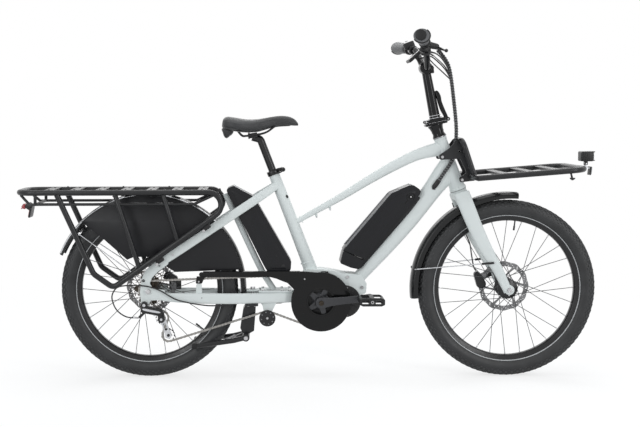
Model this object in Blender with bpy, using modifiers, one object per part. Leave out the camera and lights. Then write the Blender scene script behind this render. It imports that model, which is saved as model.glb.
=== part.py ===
"""A longtail cargo bicycle with a motor at its cranks, as an assembly of separate pieces.

Lengths are in millimetres: X forward from the rear axle, Y to the rider's left, Z up from
the ground. at() turns them into metres about the middle of the bicycle's length.
"""

import math

import bmesh
import bpy
from mathutils import Matrix, Vector

# Driving dimensions
MM = 0.001
GAP = 0.3
WELD = 0.00002
TYRE_R = 313.5
TYRE_WIDTH = 59.0
WHEELBASE = 1267.0
TAIL_X = -456.0
CENTRE_X = (TAIL_X + WHEELBASE + TYRE_R) / 2
TYRE_STEPS = 36
RIM_STEPS = 28
SPOKES = 28
RIM_R = 260.0
RIM_DEPTH = 20.0
RIM_WIDTH = 36.0

# Steering axis: its middle in the head tube, its lean and the fork's offset
HEAD = (1060.0, 755.6)
HEAD_LEAN = math.radians(19.8)
HEAD_HALF = 98.0
HEAD_TOP_R = 21.0
HEAD_LOW_R = 28.0
STEERER_R = 14.3

# Seat tube, from under its clamp down to the motor cradle
SEAT_TOP = (445.0, 730.0)
SEAT_LOW = (578.0, 354.0)
SEAT_TUBE_R = 17.0
POST_R = 13.6
POST_BORE_R = 14.2

# Motor and cranks
BB = (605.5, 273.5)
CRANK = 170.0
CRANK_RISE = math.radians(5.9)
CRANK_FACE = 78.0
CRANK_THICK = 12.0
CRADLE_HALF = 37.0

# Chain drive
PITCH = 12.7
CHAIN_Y = -49.0
CHAIN_HALF = 3.5
CHAIN_HEIGHT = 8.0
ROLLER_R = 3.9
RING_TEETH = 48
COG_TEETH = 17
PULLEY_TEETH = 11
IDLER_TEETH = 12
COGS = (11, 13, 15, 17, 21, 26, 34)
COG_SPACING = 4.9
COG_THICK = 1.8
GUIDE = (46.0, 217.0)
IDLER = (417.0, 214.5)
CAGE_LENGTH = 66.0
CAGE_ANGLE = math.radians(-66.0)

# Rear end
DROPOUT_IN = 67.5
DROPOUT_OUT = 74.0
RACK_HALF = 100.0
RACK_Z = 662.0
RACK_TUBE_R = 10.0

PALE = (0.80, 0.84, 0.84, 1.0)
SATIN = (0.035, 0.037, 0.040, 1.0)
BLACK = (0.015, 0.015, 0.017, 1.0)
SILVER = (0.62, 0.63, 0.65, 1.0)
STEEL = (0.30, 0.30, 0.31, 1.0)
RUBBER = (0.022, 0.022, 0.023, 1.0)
GREY = (0.45, 0.46, 0.47, 1.0)


# Scene and materials

def clear_scene():
    for obj in list(bpy.data.objects):
        bpy.data.objects.remove(obj, do_unlink=True)


def collection(name):
    group = bpy.data.collections.get(name)
    if group is None:
        group = bpy.data.collections.new(name)
        bpy.context.scene.collection.children.link(group)
    return group


def paint(obj, colour, roughness=0.4, metallic=0.0):
    material = bpy.data.materials.new(obj.name + "_finish")
    material.use_nodes = True
    shader = material.node_tree.nodes["Principled BSDF"]
    shader.inputs["Base Color"].default_value = colour
    shader.inputs["Roughness"].default_value = roughness
    shader.inputs["Metallic"].default_value = metallic
    obj.data.materials.clear()
    obj.data.materials.append(material)


# Places and directions

def at(x, y, z):
    return Vector(((x - CENTRE_X) * MM, y * MM, z * MM))


def steer(t, forward=0.0, y=0.0):
    """A point t up the steering axis from the head tube's middle, and forward of it."""
    x = HEAD[0] - t * math.sin(HEAD_LEAN) + forward * math.cos(HEAD_LEAN)
    z = HEAD[1] + t * math.cos(HEAD_LEAN) + forward * math.sin(HEAD_LEAN)
    return (x, y, z)


def along(start, end, share, y=0.0):
    """A point on the side-view line from start to end."""
    return (start[0] + (end[0] - start[0]) * share, y, start[1] + (end[1] - start[1]) * share)


def polar(centre, radius, degrees):
    angle = math.radians(degrees)
    return (centre[0] + radius * math.cos(angle), centre[1] + radius * math.sin(angle))


def arc(centre, radius, start, end, steps):
    """Side-view points on an arc, between two angles in degrees."""
    return [polar(centre, radius, start + (end - start) * i / steps) for i in range(steps + 1)]


def rounded(points, radii, steps=4):
    """A path through 3-D corner points, each inner corner turned with its own radius."""
    path = [Vector(points[0])]
    for i in range(1, len(points) - 1):
        corner = Vector(points[i])
        back = Vector(points[i - 1]) - corner
        ahead = Vector(points[i + 1]) - corner
        half = back.angle(ahead) / 2
        reach = radii[i - 1] / math.tan(half)
        centre = corner + (back.normalized() + ahead.normalized()).normalized() * (
            radii[i - 1] / math.sin(half))
        first = corner + back.normalized() * reach - centre
        last = corner + ahead.normalized() * reach - centre
        swing = first.angle(last)
        for k in range(steps + 1):
            share = k / steps
            turned_first = first * math.sin((1 - share) * swing)
            turned_last = last * math.sin(share * swing)
            path.append(centre + (turned_first + turned_last) / math.sin(swing))
    path.append(Vector(points[-1]))
    return [tuple(p) for p in path]


def smooth(points, count):
    """A smooth path of count steps through hand-chosen 3-D points."""
    knots = [Vector(p) for p in points]
    knots = [2 * knots[0] - knots[1]] + knots + [2 * knots[-1] - knots[-2]]
    path = []
    spans = len(knots) - 3
    for i in range(count + 1):
        place = min(i * spans / count, spans - 1e-9)
        k = int(place)
        s = place - k
        a, b, c, d = knots[k:k + 4]
        path.append(tuple(0.5 * (2 * b + (c - a) * s + (2 * a - 5 * b + 4 * c - d) * s * s
                                 + (3 * b - a - 3 * c + d) * s ** 3)))
    return path


# Making shapes

def link(obj, where="work"):
    collection(where).objects.link(obj)
    return obj


def mesh_piece(bm, name="piece"):
    bm.normal_update()
    if bm.calc_volume(signed=True) < 0:
        bmesh.ops.reverse_faces(bm, faces=bm.faces)
    mesh = bpy.data.meshes.new(name)
    bm.to_mesh(mesh)
    bm.free()
    return link(bpy.data.objects.new(name, mesh))


def solid(obj, name="piece"):
    """The object's evaluated shape, welded, as a mesh in world space."""
    bpy.context.view_layer.update()
    depsgraph = bpy.context.evaluated_depsgraph_get()
    mesh = bpy.data.meshes.new_from_object(obj.evaluated_get(depsgraph))
    bm = bmesh.new()
    bm.from_mesh(mesh)
    bm.transform(obj.matrix_world)
    bmesh.ops.remove_doubles(bm, verts=bm.verts, dist=WELD)
    bmesh.ops.dissolve_degenerate(bm, edges=bm.edges, dist=WELD)
    bpy.data.objects.remove(obj, do_unlink=True)
    return mesh_piece(bm, name)


def rod(start, end, radius, end_radius=None, sides=12):
    """A round bar or cone between two points."""
    a = at(*start)
    b = at(*end)
    bm = bmesh.new()
    bmesh.ops.create_cone(bm, cap_ends=True, segments=sides, radius1=radius * MM,
                          radius2=(radius if end_radius is None else end_radius) * MM,
                          depth=(b - a).length)
    turn = (b - a).to_track_quat("Z", "Y").to_matrix().to_4x4()
    bmesh.ops.transform(bm, matrix=Matrix.Translation((a + b) / 2) @ turn, verts=bm.verts)
    return mesh_piece(bm)


def tube(points, radius, resolution=2, radii=None):
    """A round bar along a path of points."""
    curve = bpy.data.curves.new("path", "CURVE")
    curve.dimensions = "3D"
    curve.bevel_depth = radius * MM
    curve.bevel_resolution = resolution
    curve.use_fill_caps = True
    curve.render_resolution_u = 0
    spline = curve.splines.new("POLY")
    spline.points.add(len(points) - 1)
    for i, (spot, place) in enumerate(zip(spline.points, points)):
        spot.co = (*at(*place), 1.0)
        spot.radius = 1.0 if radii is None else radii[i] / radius
    return solid(link(bpy.data.objects.new("path", curve)))


def plate(outline, y_low, y_high, holes=(), bevel=0.0):
    """A flat piece with a side-view outline, between two distances to the left."""
    curve = bpy.data.curves.new("outline", "CURVE")
    curve.dimensions = "2D"
    curve.fill_mode = "BOTH"
    curve.extrude = abs(y_high - y_low) / 2 * MM
    for loop in (outline, *holes):
        spline = curve.splines.new("POLY")
        spline.points.add(len(loop) - 1)
        spline.use_cyclic_u = True
        for spot, (x, z) in zip(spline.points, loop):
            spot.co = ((x - CENTRE_X) * MM, z * MM, 0.0, 1.0)
    obj = link(bpy.data.objects.new("outline", curve))
    obj.rotation_euler = (math.pi / 2, 0.0, 0.0)
    obj.location = (0.0, (y_low + y_high) / 2 * MM, 0.0)
    piece = solid(obj)
    return soften(piece, bevel) if bevel else piece


def circle(centre, radius, steps=16, start=0.0):
    return arc(centre, radius, start, start + 360.0 * (steps - 1) / steps, steps - 1)


def soften(piece, width, segments=1):
    bevel = piece.modifiers.new("rounded_edges", "BEVEL")
    bevel.width = width * MM
    bevel.segments = segments
    bevel.limit_method = "ANGLE"
    bevel.angle_limit = math.radians(35)
    return solid(piece)


def block(centre, size, tilt=0.0, bevel=0.0, yaw=0.0):
    """A box by its middle and its three sizes, tilted in side view and turned in plan."""
    bm = bmesh.new()
    bmesh.ops.create_cube(bm, size=1.0)
    bmesh.ops.scale(bm, vec=Vector(size) * MM, verts=bm.verts)
    place = (Matrix.Translation(at(*centre)) @ Matrix.Rotation(math.radians(yaw), 4, "Z")
             @ Matrix.Rotation(-math.radians(tilt), 4, "Y"))
    bmesh.ops.transform(bm, matrix=place, verts=bm.verts)
    piece = mesh_piece(bm)
    return soften(piece, bevel) if bevel else piece


def turned(profile, base, axis, steps=24, closed=True, angle=360.0, start=0.0, wall=0.0):
    """A profile of (radius, height) pairs turned about an axis through base."""
    mesh = bpy.data.meshes.new("profile")
    edges = [(i, i + 1) for i in range(len(profile) - 1)]
    if closed:
        edges.append((len(profile) - 1, 0))
    mesh.from_pydata([(r * MM, 0.0, h * MM) for r, h in profile], edges, [])
    obj = link(bpy.data.objects.new("profile", mesh))
    screw = obj.modifiers.new("turned", "SCREW")
    screw.angle = math.radians(angle)
    screw.steps = steps
    screw.render_steps = steps
    screw.use_merge_vertices = angle >= 360.0
    screw.merge_threshold = 0.00005
    if wall:
        shell = obj.modifiers.new("wall", "SOLIDIFY")
        shell.thickness = wall * MM
        shell.offset = 0.0
    direction = Vector(axis).normalized()
    across = Vector((1.0, 0.0, 0.0))
    if abs(direction.x) > 0.5:
        across = Vector((0.0, 1.0, 0.0))
    across = (across - direction * across.dot(direction)).normalized()
    turn = Matrix((across, direction.cross(across), direction)).transposed().to_4x4()
    spin = Matrix.Rotation(math.radians(start), 4, direction)
    obj.matrix_world = Matrix.Translation(at(*base)) @ spin @ turn
    return solid(obj)


def lofted(stations, sides=10, power=2.0):
    """A skin through sections square to a path. A station is (x, y, z, depth, width)."""
    centres = [at(*s[:3]) for s in stations]
    rings = []
    bm = bmesh.new()
    for i, (centre, station) in enumerate(zip(centres, stations)):
        path = centres[min(i + 1, len(centres) - 1)] - centres[max(i - 1, 0)]
        side = Vector((0.0, 1.0, 0.0))
        side = (side - path.normalized() * side.dot(path.normalized())).normalized()
        up = path.cross(side).normalized()
        ring = []
        for k in range(sides):
            angle = 2 * math.pi * (k + 0.5) / sides
            c = math.copysign(abs(math.cos(angle)) ** (2 / power), math.cos(angle))
            s = math.copysign(abs(math.sin(angle)) ** (2 / power), math.sin(angle))
            ring.append(bm.verts.new(centre + up * c * station[3] / 2 * MM
                                     + side * s * station[4] / 2 * MM))
        rings.append(ring)
    for low, high in zip(rings, rings[1:]):
        for k in range(sides):
            bm.faces.new((low[k], low[(k + 1) % sides], high[(k + 1) % sides], high[k]))
    bm.faces.new(rings[0][::-1])
    bm.faces.new(rings[-1])
    return mesh_piece(bm)


def joined(*pieces):
    """One body made of all the pieces."""
    first, *rest = pieces
    if not rest:
        return first
    group = bpy.data.collections.new("union")
    for piece in rest:
        group.objects.link(piece)
    union = first.modifiers.new("union", "BOOLEAN")
    union.operation = "UNION"
    union.operand_type = "COLLECTION"
    union.collection = group
    result = solid(first)
    for piece in rest:
        bpy.data.objects.remove(piece, do_unlink=True)
    bpy.data.collections.remove(group)
    return result


def cut(piece, *cutters):
    """The piece with Boolean cuts, whose cutters stay in their own collection."""
    for cutter in cutters:
        cutter.name = "cutter"
        cutter.hide_render = True
        cutter.display_type = "WIRE"
        collection("work").objects.unlink(cutter)
        link(cutter, "cutters")
        hole = piece.modifiers.new("cut", "BOOLEAN")
        hole.operation = "DIFFERENCE"
        hole.object = cutter
    return piece


def node(name, piece, colour, roughness=0.4, metallic=0.0, sharp=35.0):
    """A finished part: its name, its finish and its smooth shading."""
    piece.name = name
    piece.data.name = name
    piece.data.shade_smooth()
    piece.data.set_sharp_from_angle(angle=math.radians(sharp))
    paint(piece, colour, roughness, metallic)
    collection("work").objects.unlink(piece)
    return link(piece, "cargo_bicycle")


# Wheels

def tyre(name, x):
    """A solid ring of tyre and inner tube, with lugs along both shoulders."""
    half = [(255.4, 13.2), (286.0, TYRE_WIDTH / 2), (305.0, 24.0)]
    profile = half + [(TYRE_R, 0.0)] + [(r, -h) for r, h in half[::-1]]
    ring = turned(profile, (x, 0.0, TYRE_R), (0, 1, 0), TYRE_STEPS)
    lug = 1.6 * MM
    shoulder_low = 300.0 * MM
    shoulder_high = 312.5 * MM
    axle = at(x, 0.0, TYRE_R)
    for vertex in ring.data.vertices:
        spoke = vertex.co - axle
        spoke.y = 0.0
        turn = math.atan2(spoke.z, spoke.x) / (2 * math.pi) * TYRE_STEPS
        row = round(turn)
        if shoulder_low < spoke.length < shoulder_high and row % 2:
            vertex.co -= spoke.normalized() * lug
    return node(name, ring, RUBBER, 0.75)


def spoke_set(x, left_flange, right_flange, flange_r):
    """Crossed spokes: on each flange every second spoke leads, and the rest trail."""
    bm = bmesh.new()
    per_side = SPOKES // 2
    pitch = 2 * math.pi / per_side
    cross = 3 * pitch
    lace = 3.9
    spoke_r = 1.15
    inner_end = RIM_R - RIM_DEPTH + 4.0
    for side, flange in ((1, left_flange), (-1, right_flange)):
        for i in range(per_side):
            lead = 1 if i % 2 else -1
            hub_angle = i * pitch + (pitch / 2 if side < 0 else 0.0)
            rim_angle = hub_angle + lead * cross
            hub_y = flange + lead * side * lace
            a = at(x + flange_r * math.cos(hub_angle), hub_y, TYRE_R + flange_r * math.sin(hub_angle))
            b = at(x + inner_end * math.cos(rim_angle), side * 2.0,
                   TYRE_R + inner_end * math.sin(rim_angle))
            a = a + (a - b).normalized() * 3.0 * MM
            turn = (b - a).to_track_quat("Z", "Y").to_matrix().to_4x4()
            bmesh.ops.create_cone(bm, cap_ends=True, segments=3, radius1=spoke_r * MM,
                                  radius2=spoke_r * MM, depth=(b - a).length,
                                  matrix=Matrix.Translation((a + b) / 2) @ turn)
    return mesh_piece(bm)


def rim(name, x, left_flange, right_flange, flange_r):
    """A V-section rim whose flanges hold the tyre, with its laced spokes."""
    inner = RIM_R - RIM_DEPTH
    edge = RIM_WIDTH / 2
    profile = [(253.6, 13.6), (RIM_R, edge), (inner, 10.0), (inner, -10.0), (RIM_R, -edge),
               (253.6, -13.6)]
    facet = 360.0 / RIM_STEPS
    ring = turned(profile, (x, 0.0, TYRE_R), (0, 1, 0), RIM_STEPS, start=facet / 2)
    spokes = spoke_set(x, left_flange, right_flange, flange_r)
    return node(name, joined(ring, spokes), BLACK, 0.35, 0.3)


def rotor(x, y, boss_r):
    """A brake disc with six swept arms between its hub and its pierced ring."""
    outer, ring_in, hub_out = 90.0, 74.0, 26.0
    windows = []
    for i in range(6):
        outer_arc = arc((x, TYRE_R), ring_in, 60.0 * i + 6, 60.0 * i + 50, 1)
        windows.append(outer_arc + [polar((x, TYRE_R), hub_out, 60.0 * i + 54)])
    bore = circle((x, TYRE_R), boss_r, 8)
    return plate(circle((x, TYRE_R), outer, 20), y - 0.9, y + 0.9, [bore, *windows])


def front_hub():
    """A hub with two spoke flanges, bored for its axle, and the brake disc on its left."""
    bore, end = 6.5, 44.4
    profile = [(bore, end), (10.0, end), (20.0, 40.2), (20.0, 29.5), (36.0, 28.8), (36.0, 27.2),
               (16.0, 25.0), (16.0, -25.0), (36.0, -27.2), (36.0, -28.8), (16.0, -31.0),
               (10.0, -end), (bore, -end)]
    barrel = turned(profile, (WHEELBASE, 0.0, TYRE_R), (0, 1, 0), 8)
    disc = rotor(WHEELBASE, 39.0, 18.0)
    return node("front_hub", joined(barrel, disc), BLACK, 0.35, 0.5)


def rear_hub():
    """A hub with its brake disc on the left and the cassette's body on the right."""
    bore, end = 6.5, 67.2
    profile = [(bore, end), (9.5, end), (20.0, 54.0), (16.0, 28.0), (30.0, 25.8), (30.0, 24.2),
               (16.0, 22.0), (16.0, -17.0), (30.0, -19.2), (30.0, -20.8), (14.0, -24.0),
               (14.0, -66.0), (bore, -end)]
    barrel = turned(profile, (0.0, 0.0, TYRE_R), (0, 1, 0), 8)
    disc = rotor(0.0, 52.0, 18.0)
    return node("rear_hub", joined(barrel, disc), BLACK, 0.35, 0.5)


def axle(name, x, left_end, right_end, nut):
    """An axle through both dropouts, with its end nuts."""
    radius = 5.7
    profile = [(0.0, left_end), (7.5, left_end), (9.0, left_end - 3.0), (9.0, nut + GAP),
               (radius, nut + GAP), (radius, -nut - GAP), (9.0, -nut - GAP), (9.0, right_end + 3.0),
               (7.5, right_end), (0.0, right_end)]
    shaft = turned(profile, (x, 0.0, TYRE_R), (0, 1, 0), 8, closed=False)
    return node(name, shaft, SILVER, 0.3, 1.0)


# Chain drive

def pitch_radius(teeth):
    return PITCH / 2 / math.sin(math.pi / teeth)


class Wheel:
    """A toothed wheel on the chain's path: its centre, its teeth and which way it turns."""

    def __init__(self, centre, teeth, sense):
        self.centre = Vector(centre)
        self.teeth = teeth
        self.sense = sense
        self.radius = pitch_radius(teeth)
        self.phase = 0.0


def right_of(heading):
    return Vector((math.sin(heading), -math.cos(heading)))


def tangent(first, second):
    """The heading of the straight run that leaves one wheel and meets the next."""
    gap = second.centre - first.centre
    swing = math.asin((first.sense * first.radius - second.sense * second.radius) / gap.length)
    return math.atan2(gap.y, gap.x) + swing


def chain_wheels(cage_angle):
    tension = (GUIDE[0] + CAGE_LENGTH * math.cos(cage_angle),
               GUIDE[1] + CAGE_LENGTH * math.sin(cage_angle))
    return [Wheel(BB, RING_TEETH, 1), Wheel((0.0, TYRE_R), COG_TEETH, 1),
            Wheel(GUIDE, PULLEY_TEETH, -1), Wheel(tension, PULLEY_TEETH, 1),
            Wheel(IDLER, IDLER_TEETH, -1)]


def chain_path(wheels):
    """Stretches of the loop: arcs on the wheels and straight runs, in chain pitches."""
    count = len(wheels)
    headings = [tangent(wheels[i], wheels[(i + 1) % count]) for i in range(count)]
    stretches = []
    for i, wheel in enumerate(wheels):
        heading_in = headings[i - 1]
        wrap = (wheel.sense * (headings[i] - heading_in)) % (2 * math.pi)
        stretches.append(("arc", wheel, heading_in, wrap * wheel.teeth / (2 * math.pi)))
        after = wheels[(i + 1) % count]
        side = right_of(headings[i])
        start = wheel.centre + side * wheel.sense * wheel.radius
        end = after.centre + side * after.sense * after.radius
        stretches.append(("line", start, end, (end - start).length / PITCH))
    return stretches


def chain_length(cage_angle):
    return sum(stretch[3] for stretch in chain_path(chain_wheels(cage_angle)))


def cage_angle_for(links):
    """The cage angle near its drawn one at which the loop is exactly this many pitches."""
    low = CAGE_ANGLE - 0.5
    high = CAGE_ANGLE + 0.5
    rising = chain_length(high) > chain_length(low)
    for _ in range(60):
        middle = (low + high) / 2
        if (chain_length(middle) < links) == rising:
            low = middle
        else:
            high = middle
    return (low + high) / 2


def chain_pins(wheels, links):
    """The pin centres in side view, and each wheel's tooth phase to suit them."""
    pins = []
    done = 0.0
    for kind, first, second, length in chain_path(wheels):
        index = math.ceil(done - 1e-6)
        if kind == "arc":
            step = 2 * math.pi / first.teeth
            base = right_of(second) * first.sense
            start_angle = math.atan2(base.y, base.x)
            first.phase = start_angle + first.sense * (index - done) * step
        while index < min(done + length, links) - 1e-6:
            if kind == "arc":
                angle = start_angle + first.sense * (index - done) * step
                offset = Vector((math.cos(angle), math.sin(angle))) * first.radius
                pins.append(first.centre + offset)
            else:
                pins.append(first + (second - first).normalized() * (index - done) * PITCH)
            index += 1
        done += length
    return pins


def chain(pins, wheels):
    """A jointed band of links, open between its rollers wherever teeth stand in it."""
    bm = bmesh.new()
    tall = CHAIN_HEIGHT / 2
    count = len(pins)
    outer = []
    windows = []
    for i, pin in enumerate(pins):
        before = (pin - pins[i - 1]).normalized()
        after = (pins[(i + 1) % count] - pin).normalized()
        bisector = (before + after).normalized()
        reach = tall / max(bisector.dot(after), 0.5)
        normal = Vector((-bisector.y, bisector.x))
        corners = [pin + normal * reach * s for s in (1, -1)]
        outer.append([bm.verts.new(at(c.x, CHAIN_Y + y * CHAIN_HALF, c.y))
                      for c in corners for y in (1, -1)])
        ahead = pins[(i + 1) % count]
        wrapped = any(math.hypot(*(p - wheel.centre)) < wheel.radius + 4.0
                      for wheel in wheels for p in (pin, ahead))
        if not wrapped:
            windows.append(None)
            continue
        normal = Vector((-after.y, after.x))
        half = 1.3 if i % 2 else 2.2
        ends = (pin + after * ROLLER_R, ahead - after * ROLLER_R)
        windows.append([bm.verts.new(at(e.x + normal.x * tall * s, CHAIN_Y + y * half,
                                        e.y + normal.y * tall * s))
                        for e in ends for s in (1, -1) for y in (1, -1)])
    for i in range(count):
        here, ahead = outer[i], outer[(i + 1) % count]
        for face in (0, 2):
            left, right = here[face], here[face + 1]
            left_ahead, right_ahead = ahead[face], ahead[face + 1]
            if windows[i] is None:
                bm.faces.new((left, left_ahead, right_ahead, right))
                continue
            start_l, start_r = windows[i][face], windows[i][face + 1]
            end_l, end_r = windows[i][face + 4], windows[i][face + 5]
            for loop in ((left, left_ahead, end_l, start_l), (right_ahead, right, start_r, end_r),
                         (left, start_l, start_r, right), (end_l, left_ahead, right_ahead, end_r)):
                bm.faces.new(loop)
        bm.faces.new((here[0], here[2], ahead[2], ahead[0]))
        bm.faces.new((here[1], here[3], ahead[3], ahead[1]))
        if windows[i] is not None:
            w = windows[i]
            for loop in ((0, 2, 3, 1), (4, 5, 7, 6), (0, 4, 6, 2), (1, 3, 7, 5)):
                bm.faces.new([w[k] for k in loop])
    bmesh.ops.recalc_face_normals(bm, faces=bm.faces)
    return node("chain", mesh_piece(bm), STEEL, 0.35, 0.9)


def toothed(wheel, y_low, y_high, bore, holes=()):
    """A chainwheel plate whose teeth stand between the chain's rollers."""
    root = wheel.radius * math.cos(math.pi / wheel.teeth) - CHAIN_HEIGHT / 2 - GAP
    tip = wheel.radius + 2.6
    flank = math.asin(1.8 / root)
    outline = []
    for i in range(wheel.teeth):
        middle = wheel.phase + (i + 0.5) * 2 * math.pi / wheel.teeth
        for radius, angle in ((root, middle - flank), (tip, middle), (root, middle + flank)):
            outline.append((wheel.centre.x + radius * math.cos(angle),
                            wheel.centre.y + radius * math.sin(angle)))
    return plate(outline, y_low, y_high, [circle(wheel.centre, bore, 8), *holes])


def cassette(cog_wheel):
    """Seven sprockets on one sleeve that turns on the hub; only the chain's own has teeth."""
    bore, sleeve = 14.9, 17.8
    half = COG_THICK / 2
    first_y = CHAIN_Y - COGS.index(COG_TEETH) * COG_SPACING
    last_y = first_y + (len(COGS) - 1) * COG_SPACING
    profile = [(bore, first_y - half), (sleeve, first_y - half)]
    for i, teeth in enumerate(COGS):
        if teeth != COG_TEETH:
            y = first_y + i * COG_SPACING
            tip = pitch_radius(teeth) + 2.6
            profile += [(sleeve, y - half), (tip, y - half), (tip, y + half), (sleeve, y + half)]
    profile = profile[:1] + profile[2:] + [(bore, last_y + half)]
    sleeve_piece = turned(profile[::-1], (0.0, 0.0, TYRE_R), (0, 1, 0), 10)
    cog = toothed(cog_wheel, CHAIN_Y - half, CHAIN_Y + half, bore + 1.6)
    return node("cassette", joined(sleeve_piece, cog), STEEL, 0.35, 0.9)


def pulley(name, wheel, bore=3.4):
    """A small chain wheel of plastic with a hub boss on both sides."""
    disc = toothed(wheel, CHAIN_Y - 1.0, CHAIN_Y + 1.0, bore + 2.0)
    profile = [(bore, CHAIN_Y + 3.6), (7.5, CHAIN_Y + 3.6), (7.5, CHAIN_Y - 3.6), (bore, CHAIN_Y - 3.6)]
    base = (wheel.centre.x, 0.0, wheel.centre.y)
    return node(name, joined(turned(profile, base, (0, 1, 0), 6), disc), BLACK, 0.5)


def idler_wheel(wheel):
    """The chain's guide wheel, with a guard disc on its outer side."""
    bore = 4.6
    disc = toothed(wheel, CHAIN_Y - 1.0, CHAIN_Y + 1.0, bore + 3.0)
    profile = [(bore, CHAIN_Y + 3.0), (11.0, CHAIN_Y + 3.0), (11.0, CHAIN_Y - 4.1),
               (29.0, CHAIN_Y - 4.1), (29.0, CHAIN_Y - 6.2), (bore, CHAIN_Y - 7.0)]
    boss = turned(profile, (wheel.centre.x, 0.0, wheel.centre.y), (0, 1, 0), 10)
    return node("idler_wheel", joined(boss, disc), BLACK, 0.5)


# Cranks, pedals and derailleur

def tongue(a, a_radius, b, b_radius, steps=5):
    """The outline around two circles in side view."""
    reach = math.hypot(b[0] - a[0], b[1] - a[1])
    heading = math.degrees(math.atan2(b[1] - a[1], b[0] - a[0]))
    open_angle = math.degrees(math.acos((a_radius - b_radius) / reach))
    return (arc(b, b_radius, heading - open_angle, heading + open_angle, steps)
            + arc(a, a_radius, heading + open_angle, heading - open_angle + 360.0, steps))


def crank_end(side):
    """The pedal axle's centre: ahead on the right, behind on the left."""
    rise = CRANK_RISE if side < 0 else CRANK_RISE + math.pi
    return (BB[0] + CRANK * math.cos(rise), BB[1] + CRANK * math.sin(rise))


def crank_right(ring):
    """The right arm with its spider and the chainring."""
    end = crank_end(-1)
    arm = plate(tongue(BB, 20.0, end, 14.0, 4), -CRANK_FACE - CRANK_THICK, -CRANK_FACE)
    bore = 11.9
    profile = [(bore, -47.6), (33.0, -47.6), (33.0, -51.0), (20.0, -58.0),
               (20.0, -CRANK_FACE - 1.0), (bore, -CRANK_FACE - 1.0)]
    hub = turned(profile, (BB[0], 0.0, BB[1]), (0, 1, 0), 12)
    windows = [arc(BB, 78.0, 72 * i + 8, 72 * i + 56, 1) + [polar(BB, 40.0, 72 * i + 32)]
               for i in range(5)]
    disc = toothed(ring, CHAIN_Y - 1.1, CHAIN_Y + 1.1, bore + 1.5, windows)
    return node("crank_right", joined(hub, arm, disc), BLACK, 0.35, 0.5)


def crank_left():
    """The left arm with the spindle that passes through the motor."""
    end = crank_end(1)
    arm = plate(tongue(BB, 20.0, end, 14.0, 4), CRANK_FACE, CRANK_FACE + CRANK_THICK)
    spindle = rod((BB[0], -CRANK_FACE + GAP, BB[1]), (BB[0], CRANK_FACE + 2, BB[1]), 11.5, sides=12)
    boss = rod((BB[0], 64.6, BB[1]), (BB[0], CRANK_FACE + 1, BB[1]), 18.0, sides=12)
    return node("crank_left", joined(arm, boss, spindle), BLACK, 0.35, 0.5)


def pedal(name, side):
    """A caged platform on its axle boss, open at the top and at both ends."""
    x, z = crank_end(side)
    inner = CRANK_FACE + CRANK_THICK + GAP
    near, far, length, height = 99.0, 187.0, 86.0, 28.0
    middle = side * (near + far) / 2
    body = block((x, middle, z), (length, far - near, height))
    well_x, well_y = 27.0, 70.0
    wells = [block((x + s * 21.0, middle, z), (well_x, well_y, height * 2)) for s in (-1, 1)]
    slots = [block((x + s * 23.0, middle, z), (24.0, (far - near) * 2, 13.0)) for s in (-1, 1)]
    boss = rod((x, side * inner, z), (x, side * (near + 2), z), 9.0, sides=6)
    barrel = rod((x, side * near, z), (x, side * (far - 2), z), 10.0, sides=6)
    cage = solid(cut(body, joined(*wells), joined(*slots)))
    return node(name, joined(cage, barrel, boss), BLACK, 0.5)


def derailleur_mount():
    """The derailleur's bolt on the dropout, its slanted body and its lower knuckle."""
    hanger = (-13.0, 268.0)
    knuckle = rod((hanger[0], -DROPOUT_OUT - GAP, hanger[1]), (hanger[0], -92.0, hanger[1]), 12.0,
                  sides=10)
    body = plate(tongue((-15.0, 252.0), 14.0, (44.0, 240.0), 13.0, 4), -90.0, -75.0)
    lower = rod((GUIDE[0], -55.8, GUIDE[1]), (GUIDE[0], -88.0, GUIDE[1]), 14.0, sides=10)
    web = plate(tongue(GUIDE, 12.0, (44.0, 240.0), 11.0, 3), -84.0, -70.0)
    adjuster = rod((-32.0, -80.0, 223.0), (-12.0, -80.0, 241.0), 4.5, sides=6)
    return node("derailleur_mount", joined(body, knuckle, lower, web, adjuster), BLACK, 0.35, 0.5)


def derailleur_cage(tension):
    """Two plates that hold both pulleys, joined by the pulleys' bolts."""
    low = (tension.centre.x, tension.centre.y)
    inner_y, outer_y, plate_thick = CHAIN_Y + 4.3, CHAIN_Y - 4.3, 1.8
    window = tongue(along(GUIDE, low, 0.36)[::2], 5.0, along(GUIDE, low, 0.66)[::2], 5.0, 2)
    outline = tongue(GUIDE, 12.5, low, 11.5, 4)
    outer = plate(outline, outer_y - plate_thick, outer_y, [window])
    inner = plate(outline, inner_y, inner_y + plate_thick)
    bolts = [rod((x, inner_y + 1.0, z), (x, outer_y - 1.0, z), 2.6, sides=8) for x, z in (GUIDE, low)]
    return node("derailleur_cage", joined(outer, inner, *bolts), SILVER, 0.3, 0.9)


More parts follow.
